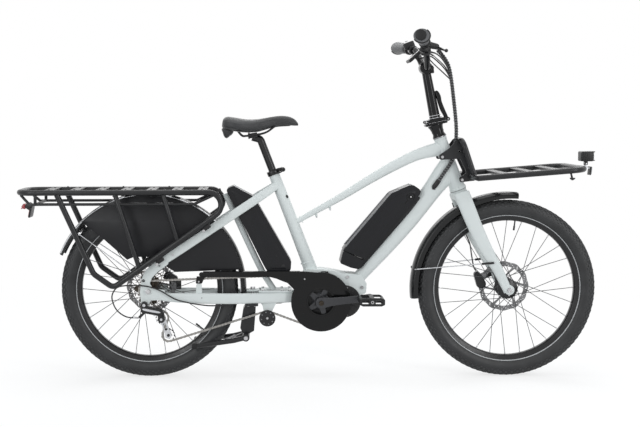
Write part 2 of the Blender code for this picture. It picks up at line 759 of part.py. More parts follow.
def chain_guard():
    """A ring and a long arm over the chain, with a rim turned in towards the frame."""
    outer_y, thick, rim_in = -64.5, 2.5, -44.0
    flange_r = 105.0
    arm_top = (532.0, 383.0)
    tail = (186.0, 372.0)
    outline = (arc(BB, flange_r, 128.0, -205.0, 16)
               + [(479.0, 343.0), (427.0, 362.0), (200.0, 362.0)] + arc(tail, 8.0, 250.0, 110.0, 3)
               + [arm_top])
    face = plate(outline, outer_y, outer_y + thick, [circle(BB, 46.0, 14)])
    outer_arc = arc(BB, flange_r - 0.5, 91.0, -70.0, 10)
    rim_arc = plate(outer_arc + arc(BB, flange_r - 1.8, -70.0, 91.0, 10), outer_y + 1.0, rim_in)
    rim_arm = plate([(192.0, 378.7), (531.0, 380.0), (532.0, 382.0), (192.0, 381.0)], outer_y + 1.0,
                    rim_in)
    bracket = plate([(166.0, 340.0), (188.0, 340.0), (199.0, 364.0), (170.0, 366.0)], outer_y, outer_y
                    + thick)
    tab = plate([(607.0, 376.0), (631.0, 374.5), (632.0, 379.0), (607.0, 379.0)], rim_in - 2.0,
                -CRADLE_HALF - GAP)
    return node("chain_guard", joined(face, rim_arc, rim_arm, bracket, tab), SATIN, 0.45)


# Frame

def head_cone(extra=0.0, reach=0.0):
    """The head tube's outside, or a little more."""
    flare = (HEAD_LOW_R - HEAD_TOP_R) * reach / (2 * HEAD_HALF)
    return rod(steer(-HEAD_HALF - reach), steer(HEAD_HALF + reach), HEAD_LOW_R + extra + flare,
               HEAD_TOP_R + extra - flare, sides=14)


def seat_rod(radius, start=0.0, end=1.0, end_radius=None, sides=12):
    return rod(along(SEAT_TOP, SEAT_LOW, start), along(SEAT_TOP, SEAT_LOW, end), radius,
               end_radius, sides)


def cradle_outline(extra=0.0):
    return [(528.0 - extra, 262.0), (528.0 - extra, 335.0), (560.0, 392.0 + extra),
            (700.0 + extra, 392.0 + extra), (745.0 + extra, 372.0 + extra), (778.0 + extra, 335.0),
            (772.0 + extra, 296.0), (745.0, 293.0), (745.0, 262.0)]


def motor_outline(extra=0.0):
    rear, front = BB, (690.0, 272.0)
    return tongue(rear, 68.0 + extra, front, 57.0 + extra, 6)


def front_frame():
    """Head tube, top tube and down tube, as one welded piece."""
    head = head_cone()
    top = lofted([(512.0, 0.0, 545.0, 17.0, 24.0), (560.0, 0.0, 573.0, 19.0, 26.0),
                  (676.0, 0.0, 637.0, 25.0, 32.0), (780.0, 0.0, 700.0, 30.0, 36.0),
                  (865.0, 0.0, 748.0, 35.0, 38.0), (940.0, 0.0, 784.0, 38.0, 38.0),
                  (1000.0, 0.0, 802.0, 46.0, 38.0), (1045.0, 0.0, 811.0, 50.0, 36.0)],
                 sides=8, power=2.8)
    down = down_tube()
    bosses = [rod((x, 0.0, z), (x + 3.0, 0.0, z - 15.0), 5.0, 3.5, sides=6)
              for x, z in ((590.0, 582.0), (638.0, 608.0))]
    frame = joined(head, top, down, *bosses)
    bore = rod(steer(-HEAD_HALF - 5), steer(HEAD_HALF + 5), STEERER_R + 1.4, sides=10)
    seat = seat_rod(SEAT_TUBE_R + GAP, -0.1, 1.0, 22.0 + GAP)
    cradle = plate(cradle_outline(GAP * 2), -60.0, 60.0)
    return node("front_frame", cut(frame, bore, seat, cradle), PALE, 0.3)


def seat_tube():
    """The seat tube with its clamp, and the cradle that the motor hangs in."""
    shaft = seat_rod(SEAT_TUBE_R, 0.0, 1.0, 22.0)
    collar_low = 0.035
    collar = seat_rod(SEAT_TUBE_R + 4.0, -0.004, collar_low)
    ears = [block(along((468.0, 738.0), SEAT_LOW, 0.0, y=s * 6.5), (20.0, 7.0, 13.0), tilt=19.5)
            for s in (-1, 1)]
    cradle = plate(cradle_outline(), -CRADLE_HALF, CRADLE_HALF)
    tail = lofted([(588.0, 0.0, 326.0, 46.0, 46.0), (570.0, 0.0, 380.0, 46.0, 44.0),
                   (545.0, 0.0, 449.0, 36.0, 36.0)], sides=8)
    frame = joined(shaft, collar, cradle, tail, *ears)
    motor_gap = plate(motor_outline(0.8), -70.0, 70.0)
    bore = seat_rod(POST_BORE_R, -0.1, 0.8)
    bolt_gap = rod((474.0, -20.0, 737.0), (474.0, 20.0, 737.0), 3.4, sides=6)
    slot = block(along((470.0, 728.0), SEAT_LOW, 0.0), (34.0, 4.0, 60.0), tilt=19.5)
    return node("seat_tube", cut(frame, motor_gap, bore, bolt_gap, slot), PALE, 0.3)


def rear_frame(name, side):
    """One side of the rear triangle: seat stay, chain stay and dropout."""
    y = side
    chain_stay = lofted([(34.0, y * 69.0, 296.0, 22.0, 12.0), (70.0, y * 66.0, 292.0, 30.0, 15.0),
                         (180.0, y * 65.0, 288.0, 37.0, 19.0), (330.0, y * 58.0, 285.5, 37.0, 18.0),
                         (560.0, y * 22.0, 286.0, 36.0, 18.0)], sides=8, power=3.0)
    seat_stay = lofted([(42.0, y * 70.0, 412.0, 24.0, 11.0), (110.0, y * 66.0, 457.0, 30.0, 14.0),
                        (366.0, y * 57.0, 626.0, 30.0, 14.0), (398.0, y * 48.0, 647.0, 30.0, 14.0),
                        (452.0, y * 13.0, 682.0, 28.0, 16.0)], sides=8, power=2.6)
    bottom = [(-24.0, 258.0), (-4.0, 256.0), (8.0, 282.0)] if side < 0 else [(-11.0, 284.0)]
    outline = [(-21.0, 361.0), (-25.0, 340.0), (-29.0, 312.0)] + bottom + [
        (59.0, 284.0), (59.0, 319.0), (16.0, 324.0), (6.0, 342.0), (14.0, 362.0), (36.0, 384.0),
        (74.0, 412.0), (60.0, 434.0), (25.0, 416.0), (-7.0, 390.0)]
    dropout = plate(outline, y * DROPOUT_IN, y * DROPOUT_OUT,
                    [circle((0.0, TYRE_R), 6.4, 8)])
    pieces = [chain_stay, seat_stay, dropout]
    if side < 0:
        lug = plate([(166.0, 298.0), (188.0, 298.0), (187.0, 336.0), (177.0, 343.0), (168.0, 336.0)],
                    -62.0 + GAP, -57.0)
        drop = plate([(392.0, 270.0), (452.0, 270.0), (444.0, 258.0), (427.0, 222.0), (417.0, 206.0),
                      (405.0, 210.0), (406.0, 232.0), (400.0, 258.0)], -43.0, -38.0)
        bolt = rod((IDLER[0], -39.0, IDLER[1]), (IDLER[0], -54.6, IDLER[1]), 3.7, sides=8)
        pieces += [lug, drop, bolt]
    seat = seat_rod(SEAT_TUBE_R + GAP, -0.1, 1.0, 22.0 + GAP)
    cradle = plate(cradle_outline(GAP), -CRADLE_HALF - GAP, CRADLE_HALF + GAP)
    return node(name, cut(joined(*pieces), seat, cradle), PALE, 0.3)


def battery_tube():
    """The bent tube behind the rear battery, standing on a plate between the chain stays."""
    path = rounded([(265.0, 0.0, 648.0), (355.0, 0.0, 450.0), (449.0, 0.0, 306.0)], [140.0], 4)
    tube_piece = tube(path, 9.0, 1)
    foot = block((446.0, 0.0, 307.6), (118.0, 96.0, 6.0))
    tail = block((370.0, 0.0, 307.6), (52.0, 44.0, 6.0))
    bolt_gap = rod((366.0, 0.0, 300.0), (366.0, 0.0, 316.0), 8.9, sides=8)
    return node("battery_tube", cut(joined(foot, tail, tube_piece), bolt_gap), PALE, 0.3)


def motor():
    """The motor's housing, with the round cover on its left."""
    body = plate(motor_outline(), -42.0, 52.0, bevel=5.0)
    cover = rod((BB[0], 48.0, BB[1]), (BB[0], 64.0, BB[1]), 60.0, 54.0, sides=16)
    housing = joined(body, cover)
    spindle = rod((BB[0], -80.0, BB[1]), (BB[0], 90.0, BB[1]), 12.1, sides=12)
    return node("motor", cut(housing, spindle), BLACK, 0.45)


# Batteries

BATTERY_PIVOT = (687.0, 453.0)
MAIN_BATTERY = [(688.0, 456.0), (752.0, 556.0), (836.0, 652.0), (893.0, 673.0), (930.0, 686.0),
                (962.0, 660.0), (757.0, 422.0)]
REAR_BATTERY = [(272.0, 670.0), (300.0, 682.0), (371.0, 643.0), (502.0, 414.0), (500.0, 384.0),
                (484.0, 372.0), (420.0, 375.0), (404.0, 402.0)]


def grown(outline, extra):
    """The outline moved outwards by the same distance all round."""
    area = sum(a[0] * b[1] - b[0] * a[1] for a, b in zip(outline, outline[1:] + outline[:1]))
    sense = 1.0 if area > 0 else -1.0
    result = []
    for i, corner in enumerate(outline):
        back = Vector(corner) - Vector(outline[i - 1])
        ahead = Vector(outline[(i + 1) % len(outline)]) - Vector(corner)
        n1 = Vector((back.y, -back.x)).normalized() * sense
        n2 = Vector((ahead.y, -ahead.x)).normalized() * sense
        middle = (n1 + n2).normalized()
        result.append(tuple(Vector(corner) + middle * extra / middle.dot(n1)))
    return result


def down_tube(extra=0.0):
    depth_width = [(735.0, 342.0, 44.0, 46.0), (759.0, 370.0, 44.0, 46.0), (920.0, 557.3, 48.0, 48.0),
                   (1050.0, 708.6, 52.0, 46.0)]
    return lofted([(x, 0.0, z, d + 2 * extra, w + 2 * extra) for x, z, d, w in depth_width],
                  sides=10, power=2.4)


def battery_dock():
    """The socket under the main battery and the rail that it slides along."""
    socket = plate([(674.0, 407.0), (685.0, 452.0), (760.0, 415.0), (742.0, 388.0), (737.0, 386.0),
                    (712.0, 391.0)], -40.0, 40.0, bevel=4.0)
    rail = plate([(748.0, 385.0), (742.0, 405.0), (757.0, 424.0), (940.0, 636.0), (948.0, 648.0),
                  (986.0, 676.0), (996.0, 672.0)], -21.0, 21.0)
    battery = plate(grown(MAIN_BATTERY, GAP), -60.0, 60.0)
    dock = joined(socket, rail)
    return node("battery_dock", cut(dock, battery, down_tube(GAP)), BLACK, 0.45)


def main_battery():
    return node("main_battery", plate(MAIN_BATTERY, -43.0, 43.0, bevel=9.0), BLACK, 0.4)


def rear_battery():
    return node("rear_battery", plate(REAR_BATTERY, -41.0, 41.0, bevel=9.0), BLACK, 0.4)


# Saddle, seatpost and their clamp

POST_TOP = (400.0, 846.0)
RAILS = [(314.0, 874.0), (329.0, 857.0), (345.0, 855.0), (408.0, 865.0), (446.0, 889.0)]


def rail_tubes(radius, longer=0.0):
    path = [along(RAILS[0], RAILS[1], -longer)[::2], *RAILS[1:-1],
            along(RAILS[-1], RAILS[-2], -longer)[::2]]
    return [tube([(x, s * 22.0, z) for x, z in path], radius, 0) for s in (-1, 1)]


def seatpost():
    """The post with its set-back head, and the two rails that it clamps."""
    low = along(SEAT_TOP, SEAT_LOW, 0.42)
    path = rounded([low, (405.0, 0.0, 843.0), (369.0, 0.0, 852.0)], [16.0], 2)
    post = tube(path, POST_R, 3)
    clamp = block((367.0, 0.0, 857.0), (34.0, 56.0, 16.0), tilt=9.0)
    return node("seatpost", joined(post, clamp, *rail_tubes(3.5)), BLACK, 0.35, 0.5)


def saddle():
    """A crowned saddle, wide behind and narrow at the nose, with its bumper at the back."""
    rows = [(262.0, 896.0, 14.0, 70.0), (268.0, 899.0, 34.0, 118.0), (285.0, 899.0, 50.0, 158.0),
            (315.0, 896.0, 50.0, 172.0), (350.0, 893.0, 42.0, 150.0), (385.0, 896.0, 40.0, 104.0),
            (420.0, 899.0, 42.0, 62.0), (500.0, 901.0, 38.0, 37.0), (520.0, 899.0, 28.0, 30.0),
            (528.0, 895.0, 12.0, 18.0)]
    cushion = lofted([(x, 0.0, z, depth, width) for x, z, depth, width in rows], sides=12, power=2.5)
    bumper = lofted([(276.0, 0.0, 892.0, 14.0, 60.0), (272.0, 0.0, 868.0, 14.0, 66.0),
                     (286.0, 0.0, 848.0, 12.0, 50.0)], sides=6)
    body = joined(cushion, bumper)
    return node("saddle", cut(body, *rail_tubes(4.2, 0.05)), SATIN, 0.6)


def seat_collar_lever():
    """The quick-release handle, its cam on the clamp bolt and the bolt itself."""
    bolt = rod((474.0, 15.0, 737.0), (474.0, -18.0, 737.0), 2.8, sides=6)
    nut = rod((474.0, 10.4, 737.0), (474.0, 17.0, 737.0), 7.0, sides=6)
    cam = rod((474.0, -10.4, 737.0), (474.0, -20.0, 737.0), 8.0, sides=8)
    handle = lofted([(474.0, -16.0, 737.0, 10.0, 7.0), (462.0, -22.0, 722.0, 10.0, 6.0),
                     (466.0, -24.0, 696.0, 13.0, 5.0)], sides=6)
    return node("seat_collar_lever", joined(cam, bolt, nut, handle), SATIN, 0.4, 0.5)


# Fork, stem and handlebar

POST_HINGE = (972.5, 896.2)
FLANGE_TILT = 9.0
BAR = (974.0, 1091.0)


def fork_leg(side, extra=0.0):
    leg = [(1097.0, 51.5, 652.0, 56.0, 22.0), (1153.0, 54.0, 519.0, 50.0, 22.0),
           (1199.0, 55.0, 430.0, 42.0, 21.0),
           (1227.0, 56.0, 383.0, 36.0, 20.0), (1263.0, 56.0, 308.0, 30.0, 19.0)]
    return lofted([(x, side * y, z, d + 2 * extra, w + 2 * extra) for x, y, z, d, w in leg], 8, 2.5)


def fork():
    """Steerer, crown and two tapered legs with their dropouts, and the stem's fixed base."""
    crown = block(steer(-118.0, 0.0), (54.0, 126.0, 28.0), tilt=19.8)
    race = rod(steer(-108.0), steer(-HEAD_HALF - 0.5), 28.0, 27.0, sides=10)
    steerer = rod(steer(-110.0), steer(140.0), STEERER_R, sides=10)
    cap = rod(steer(HEAD_HALF + 0.5), steer(112.0), 24.0, 22.0, sides=10)
    neck = rod(steer(110.0), steer(146.0), 21.0, 27.0, sides=10)
    flange = block((1012.0, 0.0, 895.8), (78.0, 50.0, 12.0), tilt=FLANGE_TILT)
    pieces = [crown, race, steerer, cap, neck, flange]
    for side in (-1, 1):
        pieces.append(fork_leg(side))
        pieces.append(rod((WHEELBASE, side * 45.6, TYRE_R), (WHEELBASE, side * 66.0, TYRE_R), 17.0,
                          sides=10))
    axle_gap = rod((WHEELBASE, -90.0, TYRE_R), (WHEELBASE, 90.0, TYRE_R), 6.4, sides=8)
    return node("fork", cut(joined(*pieces), axle_gap), PALE, 0.3)


def front_axle():
    return axle("front_axle", WHEELBASE, 76.0, -74.0, 66.0)


def stem_post():
    """The folding post: its hinged foot, its tapered tube and the clamp round the bar."""
    foot = block((1010.2, 0.0, 908.0), (72.0, 48.0, 11.5), tilt=FLANGE_TILT)
    post = rod((1010.0, 0.0, 910.0), (977.0, 0.0, 1074.0), 19.0, 15.5, sides=12)
    clamp = rod((BAR[0], -26.0, BAR[1]), (BAR[0], 26.0, BAR[1]), 21.5, sides=14)
    face = block((BAR[0] + 17.0, 0.0, BAR[1] - 6.0), (20.0, 44.0, 26.0))
    ears = [rod((POST_HINGE[0] + 3.0, s * 17.0, POST_HINGE[1] + 4.5),
                (POST_HINGE[0] + 3.0, s * 23.0, POST_HINGE[1] + 4.5), 4.0, sides=6) for s in (-1, 1)]
    bore = rod((BAR[0], -40.0, BAR[1]), (BAR[0], 40.0, BAR[1]), 16.8, sides=12)
    return node("stem_post", cut(joined(foot, post, clamp, face, *ears), bore), BLACK, 0.35, 0.4)


def stem_lever():
    """The safety lever on the post's front."""
    barrel = rod((1054.5, -11.0, 913.0), (1054.5, 11.0, 913.0), 7.0, sides=10)
    blade = lofted([(1053.0, 0.0, 914.0, 11.0, 20.0), (1040.0, 0.0, 950.0, 11.0, 22.0),
                    (1029.0, 0.0, 985.0, 11.0, 20.0), (1020.0, 0.0, 1008.0, 8.0, 14.0)], sides=8)
    return node("stem_lever", joined(barrel, blade), BLACK, 0.4)


BAR_END = (911.0, 326.0, 1183.0)
BAR_TURN = (958.0, 135.0, 1160.0)
GRIP_IN = 0.30


def bar_point(share, side):
    return tuple(a + (b - a) * share for a, b in zip(
        (BAR_TURN[0], side * BAR_TURN[1], BAR_TURN[2]), (BAR_END[0], side * BAR_END[1], BAR_END[2])))


def handlebar():
    """A raised and swept bar, with both brake perches, the shifter and the control pad on it."""
    corners = [bar_point(1.0, -1), bar_point(0.0, -1), (BAR[0], -46.0, BAR[1]),
               (BAR[0], 46.0, BAR[1]), bar_point(0.0, 1), bar_point(1.0, 1)]
    bar = tube(rounded(corners, [45.0, 30.0, 30.0, 45.0], 2), 11.1, 1)
    sleeve = rod((BAR[0], -27.5, BAR[1]), (BAR[0], 27.5, BAR[1]), 15.9, sides=10)
    pieces = [bar, sleeve]
    for side in (-1, 1):
        clamp_low, clamp_high = bar_point(0.10, side), bar_point(0.27, side)
        pieces.append(rod(clamp_low, clamp_high, 17.0, sides=6))
        pieces.append(rod(bar_point(0.15, side), (980.0, side * 160.0, 1157.0), 11.0, 9.0, sides=4))
    pieces.append(block((947.0, -178.0, 1146.0), (34.0, 26.0, 20.0)))
    pieces.append(block((938.0, 176.0, 1181.0), (40.0, 24.0, 24.0), tilt=20.0))
    return node("handlebar", joined(*pieces), BLACK, 0.35, 0.5)


def grip(name, side):
    """A shaped grip with a palm rest that widens behind the bar towards its end."""
    rows = [(GRIP_IN, 0.0, 34.0, 34.0), (0.36, 1.0, 36.0, 36.0), (0.60, 5.0, 35.0, 46.0),
            (0.82, 10.0, 36.0, 60.0), (0.96, 11.0, 40.0, 62.0), (1.02, 7.0, 34.0, 46.0)]
    stations = []
    for share, back, depth, width in rows:
        x, y, z = bar_point(share, side)
        stations.append((x - back, y, z - back * 0.3, depth, width))
    body = across_loft(stations, 10)
    gap = tube([bar_point(0.2, side), bar_point(1.004, side)], 12.3, 2)
    return node(name, cut(body, gap), RUBBER, 0.7)


def across_loft(stations, sides=12):
    """Sections square to Y: a station is (x, y, z, height, length)."""
    bm = bmesh.new()
    rings = []
    for x, y, z, height, length in stations:
        ring = []
        for k in range(sides):
            angle = 2 * math.pi * (k + 0.5) / sides
            ring.append(bm.verts.new(at(x + math.cos(angle) * length / 2, y,
                                        z + math.sin(angle) * height / 2)))
        rings.append(ring)
    for low, high in zip(rings, rings[1:]):
        for k in range(sides):
            bm.faces.new((low[k], low[(k + 1) % sides], high[(k + 1) % sides], high[k]))
    bm.faces.new(rings[0][::-1])
    bm.faces.new(rings[-1])
    return mesh_piece(bm)


LEVER_PIVOT = (989.0, 158.0, 1154.0)


def brake_lever(name, side):
    """A brake lever that curves outwards in front of its grip."""
    px, py, pz = LEVER_PIVOT
    boss = rod((px, side * py, pz - 8.0), (px, side * py, pz + 8.0), 6.5, sides=6)
    path = [(px, side * py, pz), (px + 11.0, side * (py + 22.0), pz - 7.0),
            (px + 17.0, side * (py + 60.0), pz - 13.0), (px + 16.0, side * (py + 100.0), pz - 17.0),
            (px + 13.0, side * (py + 126.0), pz - 19.0)]
    blade = tube(path, 5.0, 1, [5.5, 5.0, 4.5, 5.0, 6.0])
    return node(name, joined(boss, blade), BLACK, 0.35, 0.5)


def shift_lever():
    """The thumb lever under the right grip's inner end."""
    lever = lofted([(962.0, -200.0, 1131.0, 8.0, 10.0), (948.0, -200.0, 1127.0, 8.0, 13.0),
                    (930.0, -200.0, 1128.0, 6.0, 15.0)], sides=6)
    stalk = rod((956.0, -180.0, 1130.0), (956.0, -200.0, 1130.0), 5.0, sides=6)
    return node("shift_lever", joined(lever, stalk), BLACK, 0.4)


def assist_button():
    """The round button on the control pad's face."""
    centre, normal = (929.0, 176.0, 1192.8), (-0.342, 0.0, 0.940)
    top = tuple(c + n * 4.0 for c, n in zip(centre, normal))
    foot = tuple(c + n * 1.4 for c, n in zip(centre, normal))
    return node("assist_button", rod(foot, top, 6.0, sides=12), GREY, 0.4)


def display():
    """The display on its arm above the bar clamp."""
    screen = block((937.0, 0.0, 1134.0), (66.0, 84.0, 13.0), tilt=42.0, bevel=3.0)
    arm = rod((944.0, 0.0, 1130.0), (956.5, 0.0, 1109.5), 8.0, sides=6)
    return node("display", joined(screen, arm), BLACK, 0.3)


# Racks

SLAT_FIRST_X = -343.0
SLAT_LAST_X = 191.0
SLATS = 7
DECK_END_X = 211.0


def rack_deck():
    """The deck: one tube bent round the tail, flat slats across it and the tail's hangers."""
    tail = TAIL_X + RACK_TUBE_R
    corners = [(DECK_END_X, -RACK_HALF, RACK_Z), (tail, -RACK_HALF, RACK_Z),
               (tail, RACK_HALF, RACK_Z), (DECK_END_X, RACK_HALF, RACK_Z)]
    pieces = [tube(rounded(corners, [50.0, 50.0], 3), RACK_TUBE_R, 1)]
    step = (SLAT_LAST_X - SLAT_FIRST_X) / (SLATS - 1)
    for i in range(SLATS):
        pieces.append(block((SLAT_FIRST_X + i * step, 0.0, 668.0),
                            (34.0, 2 * RACK_HALF - 6.0, 6.0)))
    hanger_x = -384.0
    for side in (-1, 1):
        pieces.append(rod((hanger_x, side * RACK_HALF, RACK_Z), (hanger_x, side * RACK_HALF, 618.0),
                          5.5, sides=6))
    pieces.append(rod((hanger_x, -RACK_HALF - 5, 622.0), (hanger_x, RACK_HALF + 5, 622.0), 5.0,
                      sides=6))
    return node("rack_deck", joined(*pieces), SATIN, 0.45)


def rack_side(name, side):
    """One side: the front bend, the long diagonal, the rear leg, struts and the lower rail."""
    y = side * RACK_HALF
    main = rounded([(DECK_END_X + GAP, y, RACK_Z), (350.0, y, RACK_Z), (-118.0, y, 331.0),
                    (-186.0, y, 380.0), (-309.0, y, 655.0)], [43.0, 25.0, 35.0], 2)
    pieces = [tube(main, RACK_TUBE_R, 1)]
    for top, foot in (((-108.0, 655.0), (-26.0, 396.0)), ((58.0, 655.0), (108.0, 490.0))):
        pieces.append(rod((top[0], y, top[1]), (foot[0], y, foot[1]), 8.5, sides=6))
    low_rail = rounded([(-377.0, y, 622.0), (165.0, y, 622.0), (250.0, y, 661.0)], [25.0], 2)
    pieces.append(tube(low_rail, 5.0, 1))
    for x, z, inner in ((42.0, 426.0, 75.6), (205.0, 541.0, 70.3)):
        depth = RACK_HALF - 8.0 - inner - GAP
        pieces.append(block((x, side * (inner + GAP + depth / 2), z), (28.0, depth, 42.0), tilt=-55.0))
    rail = rod((-500.0, y, RACK_Z), (DECK_END_X, y, RACK_Z), RACK_TUBE_R + GAP, sides=10)
    return node(name, cut(joined(*pieces), rail), SATIN, 0.45)


def rear_light():
    """The lamp, its lens, the bracket to the rack's cross bar and the reflector plate."""
    body = block((-423.0, 0.0, 609.0), (24.0, 56.0, 20.0), tilt=-35.0, bevel=4.0)
    lens = block((-440.0, 0.0, 609.0), (16.0, 50.0, 18.0), tilt=-35.0)
    bracket = block((-405.0, 0.0, 618.0), (32.0, 26.0, 5.0), tilt=12.0)
    reflector = block((-419.0, 0.0, 588.0), (5.0, 60.0, 34.0), tilt=-12.0)
    bar = rod((-384.0, -60.0, 622.0), (-384.0, 60.0, 622.0), 5.0 + GAP, sides=8)
    return node("rear_light", cut(joined(body, lens, bracket, reflector), bar), BLACK, 0.4)


FRONT_HALF = 170.0
RACK_REAR = (1131.0, 712.0)
RACK_FRONT = (1502.0, 741.0)


def front_rack():
    """The frame-mounted rack: its round loop and slats, its hoop and its two head plates."""
    rear, front = RACK_REAR, RACK_FRONT

    def deck(x, y):
        share = (x - rear[0]) / (front[0] - rear[0])
        return (x, y, rear[1] + (front[1] - rear[1]) * share)

    loop = rounded([deck(rear[0], -FRONT_HALF), deck(front[0], -FRONT_HALF),
                    deck(front[0], FRONT_HALF), deck(rear[0], FRONT_HALF)], [55.0, 55.0], 3)
    pieces = [tube(loop, RACK_TUBE_R, 1)]
    pieces.append(rod(deck(rear[0], -FRONT_HALF - 3), deck(rear[0], FRONT_HALF + 3), 9.0, sides=5))
    slope = math.degrees(math.atan2(front[1] - rear[1], front[0] - rear[0]))
    for x in (1234.0, 1322.0, 1410.0):
        cx, _, cz = deck(x, 0.0)
        pieces.append(block((cx, 0.0, cz + 4.0), (26.0, 2 * FRONT_HALF - 4.0, 6.0), tilt=slope))
    hoop_half = 81.0
    hoop = rounded([(1137.0, -hoop_half, 712.0), (1096.0, -hoop_half, 834.0),
                    (1096.0, hoop_half, 834.0), (1137.0, hoop_half, 712.0)], [30.0, 30.0], 2)
    pieces.append(tube(hoop, 9.0, 1))
    outline = [(1024.0, 766.0), (1022.0, 782.0), (1063.0, 812.0), (1085.0, 835.0), (1140.0, 705.0),
               (1132.0, 696.0), (1096.0, 690.0), (1096.0, 706.0), (1118.0, 722.0), (1094.0, 772.0)]
    for side in (-1, 1):
        pieces.append(plate(outline, side * 38.0, side * 42.0))
        for x, z in ((1034.0, 776.0), (1106.0, 699.0)):
            pieces.append(rod((x, side * 5.0, z), (x, side * 45.0, z), 5.0, sides=4))
    for x, z in ((1101.0, 800.0), (1128.0, 716.0)):
        pieces.append(rod((x, -hoop_half, z), (x, hoop_half, z), 6.5, sides=4))
    pieces.append(block((1530.0, 0.0, 738.0), (62.0, 24.0, 3.5), tilt=0.0))
    pieces.append(block((1543.0, 0.0, 749.0), (11.0, 5.5, 22.0)))
    pieces.append(block((1558.0, 0.0, 729.0), (4.5, 40.0, 30.0), tilt=-6.0))
    for side in (-1, 1):
        x, y, z = deck(1444.0, side * FRONT_HALF)
        pieces.append(rod((x, y, z), (x + 8.0, y, z - 34.0), 4.0, sides=4))
    rack = joined(*pieces)
    return node("front_rack", cut(rack, head_cone(GAP, 30.0)), SATIN, 0.45)


def headlight():
    """The lamp on two ears that straddle the rack's bracket."""
    body = block((1542.5, 0.0, 780.0), (50.0, 50.0, 37.0), bevel=5.0)
    hood = block((1566.0, 0.0, 794.0), (14.0, 46.0, 6.0))
    ears = [block((1543.0, s * 5.3, 757.0), (12.0, 4.4, 16.0)) for s in (-1, 1)]
    return node("headlight", joined(body, hood, *ears), BLACK, 0.45)


# Fenders, guards, brakes and stand

def fender_arc(x, radius, half_width, start, end, steps):
    """A crowned strip bent round the wheel, between two angles in side view."""
    profile = [(radius - 9.0, half_width), (radius, half_width * 0.6), (radius, -half_width * 0.6),
               (radius - 9.0, -half_width)]
    return turned(profile, (x, 0.0, TYRE_R), (0, -1, 0), steps, closed=False, angle=end - start,
                  start=start, wall=1.8)


def rear_fender():
    """The long rear mudguard."""
    strip = fender_arc(0.0, 343.0, 34.0, -6.0, 158.0, 16)
    return node("rear_fender", strip, BLACK, 0.45)


def front_fender():
    """The front mudguard, its tab under the crown and its two wire stays."""
    strip = fender_arc(WHEELBASE, 346.0, 33.0, 84.0, 186.0, 10)
    spot = polar((WHEELBASE, TYRE_R), 354.0, 117.0)
    tab = block((spot[0], 0.0, spot[1]), (26.0, 28.0, 22.0), tilt=27.0)
    pieces = [strip, tab]
    for side in (-1, 1):
        start = polar((WHEELBASE, TYRE_R), 337.0, 168.0)
        path = rounded([(start[0], side * 32.0, start[1]), (start[0] + 10.0, side * 42.0, start[1] + 2.0),
                        (1214.0, side * 69.2, 411.0)], [8.0], 1)
        pieces.append(tube(path, 2.4, 0))
    crown = block(steer(-118.0, 0.0), (54.6, 126.6, 28.6), tilt=19.8)
    return node("front_fender", cut(joined(*pieces), crown), BLACK, 0.45)


def dress_guard(name, side):
    """The skirt beside the wheel, with its clips on the mudguard's edge."""
    rim_r = 337.0
    centre = (0.0, TYRE_R)
    outline = arc(centre, rim_r, 12.5, 134.0, 9) + [(-155.0, 493.0), (-76.0, 422.0), (-51.0, 432.0),
                                                     (5.0, 432.0), (93.0, 378.0)]
    skirt = plate(outline, side * 40.0, side * 42.0)
    clips = []
    for angle in (32.0, 116.0):
        x, z = polar(centre, 334.0, angle)
        clips.append(rod((x, side * 36.2, z), (x, side * 41.0, z), 5.0, sides=6))
    return node(name, joined(skirt, *clips), BLACK, 0.5)


def front_caliper():
    """The brake caliper behind the left fork leg, round the edge of the disc."""
    body = block((1179.0, 42.8, 338.0), (36.0, 18.6, 62.0), tilt=24.0)
    foot = block((1205.0, 53.0, 352.0), (40.0, 12.0, 24.0), tilt=24.0)
    disc = rod((WHEELBASE, 37.2, TYRE_R), (WHEELBASE, 40.8, TYRE_R), 94.0, sides=20)
    return node("front_caliper", cut(joined(body, foot), disc, fork_leg(1, GAP)), BLACK, 0.4, 0.4)


def rear_caliper():
    """The brake caliper on the left chain stay."""
    body = block((72.0, 53.0, 346.0), (50.0, 18.0, 32.0), tilt=-20.0)
    foot = block((85.0, 60.5, 320.0), (44.0, 9.0, 36.0))
    disc = rod((0.0, 50.2, TYRE_R), (0.0, 53.8, TYRE_R), 94.0, sides=20)
    stay = block((90.0, 66.0, 280.0), (200.0, 40.0, 56.0), tilt=-1.8)
    return node("rear_caliper", cut(joined(body, foot), disc, stay), BLACK, 0.4, 0.4)


STAND_PIVOT = (341.0, 145.0)


def kickstand_mount():
    """The plate under the chain stays and the arm that carries the stand."""
    top = block((362.0, 0.0, 262.5), (46.0, 132.0, 7.4))
    arm = plate([(344.0, 262.0), (376.0, 262.0), (376.0, 240.0), (370.0, 166.0), (352.0, 156.0),
                 (330.0, 158.0), (321.0, 176.0), (332.0, 244.0)], -34.0, 34.0, bevel=3.0)
    bolt = rod((366.0, 0.0, 262.0), (366.0, 0.0, 318.0), 8.0, sides=8)
    barrel = rod((STAND_PIVOT[0], -80.0, STAND_PIVOT[1]), (STAND_PIVOT[0], 80.0, STAND_PIVOT[1]),
                 14.0, sides=16)
    return node("kickstand_mount", cut(joined(top, arm, bolt), barrel), SATIN, 0.45)


def kickstand():
    """A barrel across the bicycle and two legs folded back beside the tyre."""
    x, z = STAND_PIVOT
    pieces = [rod((x, -58.0, z), (x, 58.0, z), 13.2, sides=12)]
    for side in (-1, 1):
        leg = [(x, side * 50.0, z), (296.0, side * 50.0, 134.0), (162.0, side * 57.0, 117.0)]
        pieces.append(tube(rounded(leg, [60.0], 2), 9.0, 1))
        pieces.append(block((160.0, side * 57.3, 117.0), (16.0, 24.0, 22.0), tilt=-8.0))
    return node("kickstand", joined(*pieces), SATIN, 0.45)


# Cables

